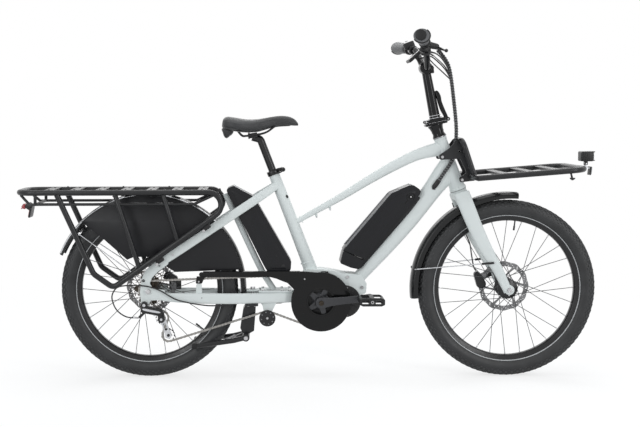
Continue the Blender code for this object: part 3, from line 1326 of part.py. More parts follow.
CABLE_ROUTE = [(1002.0, -92.0, 1147.0), (1030.0, -78.0, 1118.0), (1050.0, -62.0, 1076.0),
               (1066.0, -50.0, 979.0), (1078.0, -38.0, 880.0), (1076.0, -30.5, 814.0),
               (1066.0, -30.0, 768.0), (1037.0, -29.0, 722.0), (1012.0, -27.0, 684.0),
               (1000.0, -16.0, 662.0)]
SHIFT_ROUTE = [(262.0, -62.0, 262.0), (215.0, -70.0, 262.5), (170.0, -78.0, 269.0),
               (136.0, -80.0, 276.0), (94.0, -80.5, 288.0), (42.0, -81.0, 318.0),
               (-3.0, -81.0, 333.0), (-62.0, -84.0, 337.0), (-104.0, -87.0, 331.0),
               (-122.0, -87.0, 310.0), (-124.0, -86.0, 285.0), (-109.0, -84.0, 250.0),
               (-76.0, -82.0, 226.0), (-34.0, -80.0, 221.4)]
HOSE_ROUTE = [(1083.5, 60.0, 612.0), (1104.5, 62.0, 556.0), (1125.0, 60.0, 514.0),
              (1146.0, 56.0, 468.0), (1153.0, 50.0, 424.0), (1160.0, 46.0, 384.0),
              (1168.0, 45.0, 368.0)]


def cable_bundle():
    """The wrapped hoses and wires from the handlebar down into the down tube."""
    bundle = tube(smooth(CABLE_ROUTE, 18), 5.5, 1)
    return node("cable_bundle", cut(bundle, down_tube(GAP), head_cone(GAP)), BLACK, 0.6)


def rear_shift_cable():
    return node("rear_shift_cable", tube(smooth(SHIFT_ROUTE, 24), 2.4, 0), BLACK, 0.5)


def front_brake_hose():
    return node("front_brake_hose", tube(smooth(HOSE_ROUTE, 14), 2.4, 0), BLACK, 0.5)


# Assembly

def axis_empty(name, place, parent=None):
    """An empty on a joint's axis, which its moving pieces hang from."""
    empty = bpy.data.objects.new(name, None)
    empty.empty_display_size = 0.03
    empty.location = at(*place)
    link(empty, "cargo_bicycle")
    bpy.context.view_layer.update()
    if parent is not None:
        empty.parent = parent
        empty.matrix_parent_inverse = parent.matrix_world.inverted()
        bpy.context.view_layer.update()
    return empty


def hang(empty, *pieces):
    for piece in pieces:
        piece.parent = empty
        piece.matrix_parent_inverse = empty.matrix_world.inverted()


def build_drive():
    natural = chain_length(CAGE_ANGLE)
    links = 2 * round(natural / 2)
    angle = cage_angle_for(links)
    wheels = chain_wheels(angle)
    pins = chain_pins(wheels, links)
    print("chain:", len(pins), "pitches, cage angle", round(math.degrees(angle), 2))
    ring, cog, guide, tension, idler = wheels
    chain(pins, wheels)
    crank_axis = axis_empty("crank_axis", (BB[0], 0.0, BB[1]))
    hang(crank_axis, crank_right(ring), crank_left())
    for name, side in (("pedal_right", -1), ("pedal_left", 1)):
        x, z = crank_end(side)
        hang(axis_empty(name + "_axis", (x, side * 143.0, z), crank_axis), pedal(name, side))
    hang(axis_empty("cassette_axis", (0.0, CHAIN_Y, TYRE_R)), cassette(cog))
    hang(axis_empty("idler_axis", (IDLER[0], CHAIN_Y, IDLER[1])), idler_wheel(idler))
    derailleur_mount()
    cage_axis = axis_empty("cage_axis", (GUIDE[0], CHAIN_Y, GUIDE[1]))
    hang(cage_axis, derailleur_cage(tension), pulley("guide_pulley", guide))
    tension_axis = axis_empty("tension_axis", (tension.centre.x, CHAIN_Y, tension.centre.y),
                              cage_axis)
    hang(tension_axis, pulley("tension_pulley", tension))
    chain_guard()


def build_frame():
    front_frame()
    seat_tube()
    rear_frame("rear_frame_right", -1)
    rear_frame("rear_frame_left", 1)
    battery_tube()
    motor()
    battery_dock()
    rear_battery()
    hang(axis_empty("battery_axis", (BATTERY_PIVOT[0], 0.0, BATTERY_PIVOT[1])), main_battery())
    post_axis = axis_empty("post_axis", along(SEAT_TOP, SEAT_LOW, 0.0))
    hang(post_axis, seatpost(), saddle())
    hang(axis_empty("collar_axis", (474.0, 0.0, 737.0)), seat_collar_lever())
    kickstand_mount()
    hang(axis_empty("stand_axis", (STAND_PIVOT[0], 0.0, STAND_PIVOT[1])), kickstand())


def build_cargo():
    rack_deck()
    rack_side("rack_side_right", -1)
    rack_side("rack_side_left", 1)
    rear_light()
    rear_fender()
    dress_guard("dress_guard_right", -1)
    dress_guard("dress_guard_left", 1)
    front_rack()
    hang(axis_empty("headlight_axis", (1543.0, 0.0, 753.0)), headlight())


def build_steering():
    steer_axis = axis_empty("steer_axis", steer(0.0))
    hang(steer_axis, fork(), front_fender(), front_caliper(), front_axle(), front_brake_hose())
    fold_axis = axis_empty("fold_axis", (POST_HINGE[0], 0.0, POST_HINGE[1]), steer_axis)
    hang(fold_axis, stem_post(), handlebar(), grip("grip_right", -1), grip("grip_left", 1),
         display())
    hang(axis_empty("latch_axis", (1054.5, 0.0, 913.0), fold_axis), stem_lever())
    for name, side in (("brake_lever_right", -1), ("brake_lever_left", 1)):
        x, y, z = LEVER_PIVOT
        hang(axis_empty(name + "_axis", (x, side * y, z), fold_axis), brake_lever(name, side))
    hang(axis_empty("shift_axis", (956.0, -190.0, 1130.0), fold_axis), shift_lever())
    hang(axis_empty("button_axis", (929.0, 176.0, 1192.8), fold_axis), assist_button())
    return steer_axis


def build_wheels(steer_axis):
    front_axis = axis_empty("front_wheel_axis", (WHEELBASE, 0.0, TYRE_R), steer_axis)
    hang(front_axis, tyre("front_tyre", WHEELBASE), rim("front_rim", WHEELBASE, 28.0, -28.0, 33.0),
         front_hub())
    rear_axis = axis_empty("rear_wheel_axis", (0.0, 0.0, TYRE_R))
    hang(rear_axis, tyre("rear_tyre", 0.0), rim("rear_rim", 0.0, 25.0, -20.0, 27.0), rear_hub())
    axle("rear_axle", 0.0, 84.0, -84.0, DROPOUT_OUT)
    rear_caliper()


def main():
    clear_scene()
    collection("cargo_bicycle")
    collection("cutters")
    collection("work")
    build_frame()
    build_cargo()
    build_drive()
    build_wheels(build_steering())
    cable_bundle()
    rear_shift_cable()
    bpy.data.collections.remove(bpy.data.collections["work"])


main()
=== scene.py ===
"""Looks of the longtail cargo bicycle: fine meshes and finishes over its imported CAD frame.

Lengths are in millimetres: X forward from the rear axle, Y to the rider's left, Z up from
the ground. at() turns them into the frame's metres. A spot is an (x, z) pair in side view.
"""

import math

import bmesh
import bpy
from mathutils import Matrix, Vector


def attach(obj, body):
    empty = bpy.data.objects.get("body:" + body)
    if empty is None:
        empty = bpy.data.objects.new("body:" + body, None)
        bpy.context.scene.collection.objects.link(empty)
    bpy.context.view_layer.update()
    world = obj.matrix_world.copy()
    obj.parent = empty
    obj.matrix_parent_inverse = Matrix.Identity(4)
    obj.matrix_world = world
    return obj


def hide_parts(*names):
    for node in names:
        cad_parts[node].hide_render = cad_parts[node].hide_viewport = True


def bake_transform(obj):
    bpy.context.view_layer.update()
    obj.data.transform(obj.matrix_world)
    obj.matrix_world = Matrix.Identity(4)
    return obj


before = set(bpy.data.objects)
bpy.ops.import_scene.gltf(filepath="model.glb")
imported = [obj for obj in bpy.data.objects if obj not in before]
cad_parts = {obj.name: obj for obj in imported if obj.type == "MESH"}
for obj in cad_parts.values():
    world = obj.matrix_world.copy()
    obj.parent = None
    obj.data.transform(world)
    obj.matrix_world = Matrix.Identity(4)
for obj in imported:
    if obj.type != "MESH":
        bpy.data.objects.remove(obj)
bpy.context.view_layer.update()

# Driving dimensions, as in the CAD model
MM = 0.001
WELD = 0.00002
SHARP_EDGE = math.radians(33)
TYRE_R = 313.5
WHEELBASE = 1267
TAIL_X = -456
CENTRE_X = (TAIL_X + WHEELBASE + TYRE_R) / 2
SPOKES = 28
RIM_R = 260
RIM_DEPTH = 20
RIM_WIDTH = 36
HEAD = (1060, 755.6)
HEAD_LEAN_DEG = 19.8
HEAD_LEAN = math.radians(HEAD_LEAN_DEG)
STEER_AXIS = (-math.sin(HEAD_LEAN), 0, math.cos(HEAD_LEAN))
HEAD_HALF = 98
SEAT_TOP = (438, 730)
SEAT_LOW = (583, 354)
SEAT_TUBE_R = 19
SEAT_TILT = 21
POST_R = 13.6
POST_TRAVEL = (-95, 0, 110)
SLIDE_LEAN = math.atan2(0.33351, 0.94275)
BB = (605.5, 273.5)
CRANK = 170
CRANK_RISE = math.radians(5.9)
CRANK_FACE = 78
CRANK_THICK = 12
CRADLE_HALF = 37
DROPOUT_IN = 67.5
DROPOUT_OUT = 74
RACK_HALF = 100
RACK_Z = 662
RACK_TUBE_R = 10
SEAL_R = 29

# Chain drive
PITCH = 12.7
CHAIN_Y = -49
ROLLER_R = 3.9
RING_TEETH = 48
COG_TEETH = 17
PULLEY_TEETH = 11
IDLER_TEETH = 12
COGS = (11, 13, 15, 17, 21, 26, 34)
COG_SPACING = 4.9
GUIDE = (46, 217)
IDLER = (417, 214.5)
CAGE_LENGTH = 66
CAGE_ANGLE = math.radians(-66)


# Places

def at(x, y, z):
    return Vector(((x - CENTRE_X) * MM, y * MM, z * MM))


def steer(t):
    """A point t up the steering axis from the head tube's middle."""
    return (HEAD[0] - t * math.sin(HEAD_LEAN), 0, HEAD[1] + t * math.cos(HEAD_LEAN))


def along(start, end, share, y=0):
    """A point on the side-view line from start to end."""
    return (start[0] + (end[0] - start[0]) * share, y, start[1] + (end[1] - start[1]) * share)


def between(a, b, share):
    return tuple(p + (q - p) * share for p, q in zip(a, b))


def polar(centre, radius, degrees):
    angle = math.radians(degrees)
    return (centre[0] + radius * math.cos(angle), centre[1] + radius * math.sin(angle))


def arc(centre, radius, start, end, steps):
    return [polar(centre, radius, start + (end - start) * i / steps) for i in range(steps + 1)]


def on_side(spots, y):
    """Side-view spots as points at one distance to the left."""
    return [(x, y, z) for x, z in spots]


def circle(centre, radius, steps=40):
    return arc(centre, radius, 0, 360 * (steps - 1) / steps, steps - 1)


def rounded(points, radii, steps=10):
    """A path through 3-D corner points, each inner corner turned with its own radius."""
    path = [Vector(points[0])]
    for i in range(1, len(points) - 1):
        corner = Vector(points[i])
        back = Vector(points[i - 1]) - corner
        ahead = Vector(points[i + 1]) - corner
        half = back.angle(ahead) / 2
        reach = radii[i - 1] / math.tan(half)
        centre = corner + (back.normalized() + ahead.normalized()).normalized() * (radii[i
            - 1] / math.sin(half))
        first = corner + back.normalized() * reach - centre
        last = corner + ahead.normalized() * reach - centre
        swing = first.angle(last)
        for k in range(steps + 1):
            share = k / steps
            path.append(centre + (first * math.sin((1 - share) * swing)
                + last * math.sin(share * swing)) / math.sin(swing))
    path.append(Vector(points[-1]))
    return [tuple(p) for p in path]


def eased(outline, radius, steps=3):
    """A closed side-view outline with its corners turned on a radius, or less where they are close."""
    result = []
    for i, corner in enumerate(outline):
        corner = Vector(corner)
        back = Vector(outline[i - 1]) - corner
        ahead = Vector(outline[(i + 1) % len(outline)]) - corner
        half = back.angle(ahead) / 2
        reach = min(radius / math.tan(half), back.length * 0.45, ahead.length * 0.45)
        first = corner + back.normalized() * reach
        last = corner + ahead.normalized() * reach
        for k in range(steps + 1):
            s = k / steps
            result.append(tuple(first * (1 - s) ** 2 + corner * 2 * s * (1 - s) + last * s * s))
    return result


def spline_rows(rows, fine):
    """Rows of numbers resampled on a smooth curve, fine steps to each span."""
    padded = [[2 * a - b for a, b in zip(rows[0], rows[1])], *rows,
        [2 * a - b for a, b in zip(rows[-1], rows[-2])]]
    result = []
    for k in range(len(rows) - 1):
        for j in range(fine):
            s = j / fine
            result.append(tuple(0.5 * (2 * b + (c - a) * s + (2 * a - 5 * b + 4 * c - d) * s * s
                + (3 * b - a - 3 * c + d) * s ** 3) for a, b, c, d in zip(*padded[k:k + 4])))
    result.append(tuple(rows[-1]))
    return result


def smooth(points, count):
    """A smooth path of about count steps through given 3-D points."""
    return spline_rows([tuple(p) for p in points], max(1, round(count / (len(points) - 1))))


# Making shapes

def placed(name, data):
    """A new object with this data, in the scene."""
    obj = bpy.data.objects.new(name, data)
    bpy.context.scene.collection.objects.link(obj)
    return obj


def mesh_object(bm):
    mesh = bpy.data.meshes.new("piece")
    bm.to_mesh(mesh)
    bm.free()
    return placed("piece", mesh)


def mesh_piece(bm):
    """The mesh as an object, its close corners merged and its faces turned outwards."""
    bmesh.ops.remove_doubles(bm, verts=bm.verts, dist=WELD / 4)
    bmesh.ops.dissolve_degenerate(bm, edges=bm.edges, dist=WELD / 8)
    bm.normal_update()
    if bm.calc_volume(signed=True) < 0:
        bmesh.ops.reverse_faces(bm, faces=bm.faces)
    return mesh_object(bm)


def solid(obj):
    """The object's evaluated shape as a plain mesh."""
    bpy.context.view_layer.update()
    depsgraph = bpy.context.evaluated_depsgraph_get()
    mesh = bpy.data.meshes.new_from_object(obj.evaluated_get(depsgraph))
    bm = bmesh.new()
    bm.from_mesh(mesh)
    bm.transform(obj.matrix_world)
    bpy.data.objects.remove(obj, do_unlink=True)
    bpy.data.meshes.remove(mesh)
    return mesh_piece(bm)


def soften(piece, width, segments=2):
    """The piece with its sharp edges rounded."""
    if width <= 0:
        return piece
    bm = bmesh.new()
    bm.from_mesh(piece.data)
    bmesh.ops.remove_doubles(bm, verts=bm.verts, dist=WELD)
    edges = [e for e in bm.edges if len(e.link_faces) == 2 and e.calc_face_angle() > SHARP_EDGE]
    bmesh.ops.bevel(bm, geom=edges, offset=width * MM, segments=segments, profile=0.5, affect="EDGES",
        clamp_overlap=True)
    bpy.data.objects.remove(piece, do_unlink=True)
    return mesh_piece(bm)


def skin(bm, rings, closed=True):
    """Faces from each ring of corners to the next."""
    n = len(rings[0])
    for low, high in zip(rings, rings[1:]):
        for k in range(n if closed else n - 1):
            bm.faces.new((low[k], low[(k + 1) % n], high[(k + 1) % n], high[k]))


def capped(rings):
    """A closed skin over rings of places."""
    bm = bmesh.new()
    rings = [[bm.verts.new(place) for place in ring] for ring in rings]
    skin(bm, rings)
    bm.faces.new(rings[0][::-1])
    bm.faces.new(rings[-1])
    return mesh_piece(bm)


def revolve(profile, base, axis, steps=64, closed=True):
    """(radius, height) pairs turned about an axis through base, heights along the axis."""
    direction = Vector(axis).normalized()
    side = Vector((1, 0, 0)) if abs(direction.x) < 0.5 else Vector((0, 1, 0))
    side = (side - direction * side.dot(direction)).normalized()
    turn = Matrix((side, direction.cross(side), direction)).transposed()
    origin = at(*base)
    bm = bmesh.new()
    rings = []
    for a in (math.radians(360 * i / steps) for i in range(steps)):
        rings.append([bm.verts.new(origin + turn @ Vector((r * math.cos(a), r * math.sin(a), h)) * MM)
            for r, h in profile])
    skin(bm, rings + rings[:1], closed)
    return mesh_piece(bm)


def rod(start, end, radius, end_radius=None, edge=0.8):
    """A round bar or cone between two points, its rims a little rounded."""
    last = radius if end_radius is None else end_radius
    gap = Vector(end) - Vector(start)
    edge = min(edge, radius * 0.4, last * 0.4, gap.length * 0.3)
    soft = edge * 0.3
    profile = [(0, 0), (radius - edge, 0), (radius - soft, soft), (radius, edge),
        (last, gap.length - edge), (last - soft, gap.length - soft), (last - edge, gap.length),
        (0, gap.length)]
    return revolve(profile, start, gap, max(14, min(64, round(max(radius, last) * 2.6))), closed=False)


def turned(profile, spot, steps=64, closed=True):
    """(radius, distance left) pairs turned about a line across the bicycle."""
    return revolve(profile, (spot[0], 0, spot[1]), (0, 1, 0), steps, closed)


def across(spot, y_start, y_end, radius, end_radius=None, edge=0.8):
    """A round bar across the bicycle."""
    return rod((spot[0], y_start, spot[1]), (spot[0], y_end, spot[1]), radius, end_radius, edge)


def tube(points, radius, radii=None, sides=None):
    """A round bar along a path of points."""
    places = [at(*p) for p in points]
    sides = sides or max(10, min(36, round(radius * 3)))
    side = (places[1] - places[0]).orthogonal().normalized()
    rings = []
    for i, place in enumerate(places):
        heading = (places[min(i + 1, len(places) - 1)] - places[max(i - 1, 0)]).normalized()
        side = (side - heading * side.dot(heading)).normalized()
        up = heading.cross(side)
        r = (radius if radii is None else radii[i]) * MM
        rings.append([place + (side * math.cos(a) + up * math.sin(a)) * r
            for a in (2 * math.pi * k / sides for k in range(sides))])
    return capped(rings)


def plate(outline, y_low, y_high, holes=(), edge=0.5, segments=2):
    """A flat piece with a side-view outline, between two distances to the left."""
    curve = bpy.data.curves.new("outline", "CURVE")
    curve.dimensions = "2D"
    curve.fill_mode = "BOTH"
    curve.extrude = abs(y_high - y_low) / 2 * MM
    for loop in (outline, *holes):
        spline = curve.splines.new("POLY")
        spline.points.add(len(loop) - 1)
        spline.use_cyclic_u = True
        for spot, (x, z) in zip(spline.points, loop):
            spot.co = ((x - CENTRE_X) * MM, z * MM, 0, 1)
    obj = placed("outline", curve)
    obj.rotation_euler = (math.pi / 2, 0, 0)
    obj.location = (0, (y_low + y_high) / 2 * MM, 0)
    return soften(solid(obj), edge, segments)


def block(centre, size, tilt=0, edge=1.2, segments=3):
    """A box by its middle and its three sizes, tilted in side view."""
    bm = bmesh.new()
    bmesh.ops.create_cube(bm, size=1)
    bmesh.ops.scale(bm, vec=Vector(size) * MM, verts=bm.verts)
    place = Matrix.Translation(at(*centre)) @ Matrix.Rotation(-math.radians(tilt), 4, "Y")
    bmesh.ops.transform(bm, matrix=place, verts=bm.verts)
    return soften(mesh_piece(bm), min(edge, min(size) * 0.35), segments)


def signed_power(value, power):
    """The power of a value's size, with the value's sign."""
    return math.copysign(abs(value) ** power, value)


def lofted(stations, power=2, sides=36, fine=6, dome=0):
    """A skin through sections square to a path. A station is (x, y, z, depth, width)."""
    rows = spline_rows(stations, fine)
    centres = [at(*s[:3]) for s in rows]
    rings = []
    last = len(rows) - 1
    for i, (centre, station) in enumerate(zip(centres, rows)):
        path = centres[min(i + 1, last)] - centres[max(i - 1, 0)]
        side = Vector((0, 1, 0))
        side = (side - path.normalized() * side.dot(path.normalized())).normalized()
        up = path.cross(side).normalized()
        near_end = min(i, last - i)
        shrink = math.sin(math.pi / 2 * (near_end + 0.35) / dome) if near_end < dome else 1
        ring = []
        for k in range(sides):
            angle = 2 * math.pi * (k + 0.5) / sides
            c = signed_power(math.cos(angle), 2 / power)
            s = signed_power(math.sin(angle), 2 / power)
            ring.append(centre + (up * c * station[3] + side * s * station[4]) * shrink / 2 * MM)
        rings.append(ring)
    return capped(rings)


def joined(*pieces):
    """One mesh of all the pieces."""
    bm = bmesh.new()
    for piece in pieces:
        bm.from_mesh(piece.data)
        bpy.data.objects.remove(piece, do_unlink=True)
    return mesh_object(bm)


def cut(piece, *cutters):
    """The piece with Boolean cuts."""
    for cutter in cutters:
        hole = piece.modifiers.new("cut", "BOOLEAN")
        hole.operation = "DIFFERENCE"
        hole.object = cutter
    result = solid(piece)
    for cutter in cutters:
        bpy.data.objects.remove(cutter, do_unlink=True)
    return result


def grown(outline, extra):
    """The outline moved outwards, or inwards, by the same distance all round."""
    area = sum(a[0] * b[1] - b[0] * a[1] for a, b in zip(outline, outline[1:] + outline[:1]))
    sense = 1 if area > 0 else -1
    result = []
    for i, corner in enumerate(outline):
        back = Vector(corner) - Vector(outline[i - 1])
        ahead = Vector(outline[(i + 1) % len(outline)]) - Vector(corner)
        n1 = Vector((back.y, -back.x)).normalized() * sense
        n2 = Vector((ahead.y, -ahead.x)).normalized() * sense
        middle = (n1 + n2).normalized()
        result.append(tuple(Vector(corner) + middle * extra / middle.dot(n1)))
    return result


def tongue(a, a_radius, b, b_radius, steps=14):
    """The outline around two circles in side view."""
    reach = math.hypot(b[0] - a[0], b[1] - a[1])
    heading = math.degrees(math.atan2(b[1] - a[1], b[0] - a[0]))
    open_angle = math.degrees(math.acos((a_radius - b_radius) / reach))
    return (arc(b, b_radius, heading - open_angle, heading + open_angle, steps)
        + arc(a, a_radius, heading + open_angle, heading - open_angle + 360, steps))


def bolt_head(spot, y, radius, out):
    """A socket screw whose head points to side out (-1 right, 1 left)."""
    profile = [(0, 0), (radius, 0), (radius, radius * 0.55), (radius * 0.85, radius * 0.8),
        (radius * 0.5, radius * 0.8), (radius * 0.45, radius * 0.25), (0, radius * 0.25)]
    return revolve(profile, (spot[0], y, spot[1]), (0, out, 0), 18, closed=False)


def weld_bead(centre, axis, radius, width=2.2, ripples=44):
    """A rippled ring of weld round a tube."""
    direction = Vector(axis).normalized()
    side = direction.orthogonal().normalized()
    up = direction.cross(side)
    path, radii = [], []
    steps = ripples * 3
    for i in range(steps + 1):
        a = 2 * math.pi * i / steps
        offset = (side * math.cos(a) + up * math.sin(a)) * radius
        path.append(tuple(Vector(centre) + offset))
        radii.append(width * (1 + 0.16 * math.cos(a * ripples)))
    return tube(path, width, radii, 10)


# Finishes

DUST_GREY = (0.55, 0.54, 0.52, 1)


def added(nodes, kind, values):
    """A new node with these values on its inputs."""
    node = nodes.new(kind)
    for name, value in values.items():
        node.inputs[name].default_value = value
    return node


def finish(name, colour, roughness, metallic=0, tint=0.08, patch=11, grain=1500, bump=0.05, spread=0.05,
        coat=0, stretch=None, dust=0, specular=0.5, transmission=0):
    """A finish with uneven tone and gloss, a fine grain, and dust on what faces up."""
    material = bpy.data.materials.new(name)
    material.use_nodes = True
    nodes, links = material.node_tree.nodes, material.node_tree.links
    shader = nodes["Principled BSDF"]
    shader.inputs["Metallic"].default_value = metallic
    shader.inputs["Specular IOR Level"].default_value = specular
    shader.inputs["Transmission Weight"].default_value = transmission
    if coat:
        shader.inputs["Coat Weight"].default_value = coat
        shader.inputs["Coat Roughness"].default_value = 0.07
    place = nodes.new("ShaderNodeTexCoord")

    def noise(scale, detail, scaled=None):
        source = place.outputs["Object"]
        if scaled:
            mapping = added(nodes, "ShaderNodeMapping", {"Scale": scaled})
            links.new(source, mapping.inputs["Vector"])
            source = mapping.outputs["Vector"]
        texture = added(nodes, "ShaderNodeTexNoise", {"Scale": scale, "Detail": detail})
        links.new(source, texture.inputs["Vector"])
        return texture.outputs["Fac"]

    tone = nodes.new("ShaderNodeValToRGB")
    links.new(noise(patch, 5), tone.inputs["Fac"])
    for element, place_on, factor in zip(tone.color_ramp.elements, (0.35, 0.66), (1 - tint, 1 + tint)):
        element.position = place_on
        element.color = (*(min(1, c * factor) for c in colour), 1)
    colour_out = tone.outputs["Color"]
    if dust:
        facing = nodes.new("ShaderNodeNewGeometry")
        split = nodes.new("ShaderNodeSeparateXYZ")
        links.new(facing.outputs["Normal"], split.inputs["Vector"])
        up = added(nodes, "ShaderNodeMapRange", {"From Min": 0.2, "From Max": 1, "To Max": dust})
        links.new(split.outputs["Z"], up.inputs["Value"])
        mix = added(nodes, "ShaderNodeMixRGB", {"Color2": DUST_GREY})
        links.new(up.outputs["Result"], mix.inputs["Fac"])
        links.new(colour_out, mix.inputs["Color1"])
        colour_out = mix.outputs["Color"]
    links.new(colour_out, shader.inputs["Base Color"])
    gloss = added(nodes, "ShaderNodeMapRange", {"From Min": 0.3, "From Max": 0.7,
        "To Min": max(0.02, roughness - spread), "To Max": min(1, roughness + spread)})
    links.new(noise(patch * 4, 3), gloss.inputs["Value"])
    links.new(gloss.outputs["Result"], shader.inputs["Roughness"])
    relief = added(nodes, "ShaderNodeBump", {"Strength": bump, "Distance": 0.001})
    links.new(noise(grain, 2, stretch), relief.inputs["Height"])
    links.new(relief.outputs["Normal"], shader.inputs["Normal"])
    return material


FINISHES = {
    "frame_paint": finish("pale_paint", (0.825, 0.872, 0.862), 0.42, tint=0.006, patch=7, grain=260,
        bump=0.004, spread=0.02, specular=0.12),
    "carrier_paint": finish("carrier_powder_coat", (0.0085, 0.0090, 0.0105), 0.32, tint=0.16, grain=1900,
        bump=0.12, dust=0.004, specular=0.42),
    "black_metal": finish("black_anodised", (0.0085, 0.0085, 0.0095), 0.28, metallic=0.2, tint=0.15,
        grain=2600, bump=0.04, spread=0.07),
    "bare_metal": finish("brushed_alloy", (0.56, 0.57, 0.59), 0.27, metallic=1, tint=0.10, patch=60,
        grain=900, bump=0.06, spread=0.09, stretch=(1, 1, 14)),
    "chain_steel": finish("oiled_chain", (0.30, 0.29, 0.275), 0.34, metallic=0.85, tint=0.30, patch=240,
        grain=2200, bump=0.05, spread=0.1),
    "axle_steel": finish("zinc_steel", (0.50, 0.50, 0.51), 0.3, metallic=1, tint=0.10, patch=90,
        grain=1800, bump=0.05),
    "tyre": finish("tyre_rubber", (0.0200, 0.0208, 0.0222), 0.46, tint=0.22, patch=26, grain=900,
        bump=0.30, dust=0.05, specular=0.45),
    "grip_rubber": finish("grip_rubber", (0.010, 0.010, 0.011), 0.60, tint=0.14, patch=60, grain=1200,
        bump=0.35, specular=0.35),
    "saddle_cover": finish("saddle_vinyl", (0.030, 0.031, 0.033), 0.46, tint=0.12, patch=30, grain=820,
        bump=0.40, dust=0.02, specular=0.45),
    "battery_case": finish("battery_shell", (0.0036, 0.0040, 0.0062), 0.30, tint=0.16, grain=1500,
        bump=0.08, spread=0.06, specular=0.32),
    "black_plastic": finish("moulded_plastic", (0.0085, 0.0086, 0.0095), 0.40, tint=0.14, grain=1300,
        bump=0.16, dust=0.006, specular=0.40),
    "grey_plastic": finish("grey_plastic", (0.36, 0.37, 0.38), 0.45, tint=0.06, grain=1300, bump=0.12),
    "cable_cover": finish("cable_cover", (0.0120, 0.0120, 0.0130), 0.34, tint=0.15,
        grain=1600, bump=0.12),
}
DARK_STEEL = finish("sprocket_steel", (0.060, 0.049, 0.038), 0.36, metallic=0.85, tint=0.30, patch=120,
    grain=1400, bump=0.06, spread=0.1)
ROTOR_STEEL = finish("rotor_steel", (0.21, 0.21, 0.215), 0.40, metallic=0.85, tint=0.16, patch=90,
    grain=1200, bump=0.05, spread=0.08)
SPOKE_STEEL = finish("spoke_steel", (0.070, 0.071, 0.074), 0.34, metallic=0.7, tint=0.12, patch=80)
REFLECTIVE = finish("reflective_band", (0.60, 0.61, 0.62), 0.45, tint=0.06, patch=80,
    grain=2600, bump=0.25)
FENDER_SKIN = finish("fender_skin", (0.0060, 0.0065, 0.0072), 0.26, tint=0.10, grain=700, bump=0.04,
    specular=0.34)
GUARD_SKIN = finish("guard_panel", (0.0036, 0.0038, 0.0056), 0.40, tint=0.12, grain=900, bump=0.08,
    specular=0.34)
GUARD_GLOSS = finish("gloss_guard", (0.0030, 0.0030, 0.0034), 0.16, tint=0.12, grain=600, bump=0.02,
    spread=0.04, specular=0.26)
CHROME_EDGE = finish("edge_trim", (0.60, 0.61, 0.63), 0.26, metallic=0.9, tint=0.08, patch=50, grain=900)
EDGE_GREY = finish("smoked_edge", (0.20, 0.205, 0.215), 0.36, metallic=0.35, tint=0.08,
    patch=50, grain=900)
CRANK_FACED = finish("crank_face", (0.048, 0.049, 0.053), 0.24, metallic=0.55, tint=0.05, patch=18,
    grain=1600, bump=0.01, spread=0.02)
TREAD_RUBBER = finish("tread_rubber", (0.046, 0.047, 0.049), 0.55, tint=0.18, patch=40, grain=900,
    bump=0.2, dust=0.05, specular=0.45)
# The wrap's pale grey is a painted highlight: it stands in for the glints along its glossy black spiral.
WRAP_HIGHLIGHT_GREY = finish("wrap_painted_highlight", (0.2100, 0.2120, 0.2180), 0.34, tint=0.15, grain=1600, bump=0.12)
GRIP_GREY = finish("grip_pad", (0.125, 0.127, 0.132), 0.50, tint=0.08, patch=30, grain=1400, bump=0.15)
RED_LENS = finish("red_lens", (0.42, 0.012, 0.022), 0.12, tint=0.15, patch=200, grain=300,
    bump=0.06, coat=0.6)
CLEAR_LENS = finish("lamp_lens", (0.72, 0.74, 0.76), 0.10, tint=0.06, patch=160, grain=260, bump=0.10,
    coat=0.8, transmission=0.3)
SCREEN = finish("screen_glass", (0.010, 0.012, 0.016), 0.10, tint=0.2, patch=40, grain=400,
    bump=0.01, coat=0.8)
POST_GLOSS = finish("gloss_black_post", (0.0030, 0.0030, 0.0042), 0.13, tint=0.12, grain=900, bump=0.006,
    specular=0.30)


def show(piece, name, body, slot, *replaced, look=None, sharp=34):
    """A finished visible piece: its name, finish and shading, its body, and the CAD nodes it is for."""
    piece.name = name
    piece.data.name = name
    piece.data.shade_smooth()
    piece.data.set_sharp_from_angle(angle=math.radians(sharp))
    piece.data.materials.clear()
    piece.data.materials.append(look or FINISHES[slot])
    if body:
        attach(piece, body)
    if replaced:
        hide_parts(*replaced)
    return piece


# Wheels

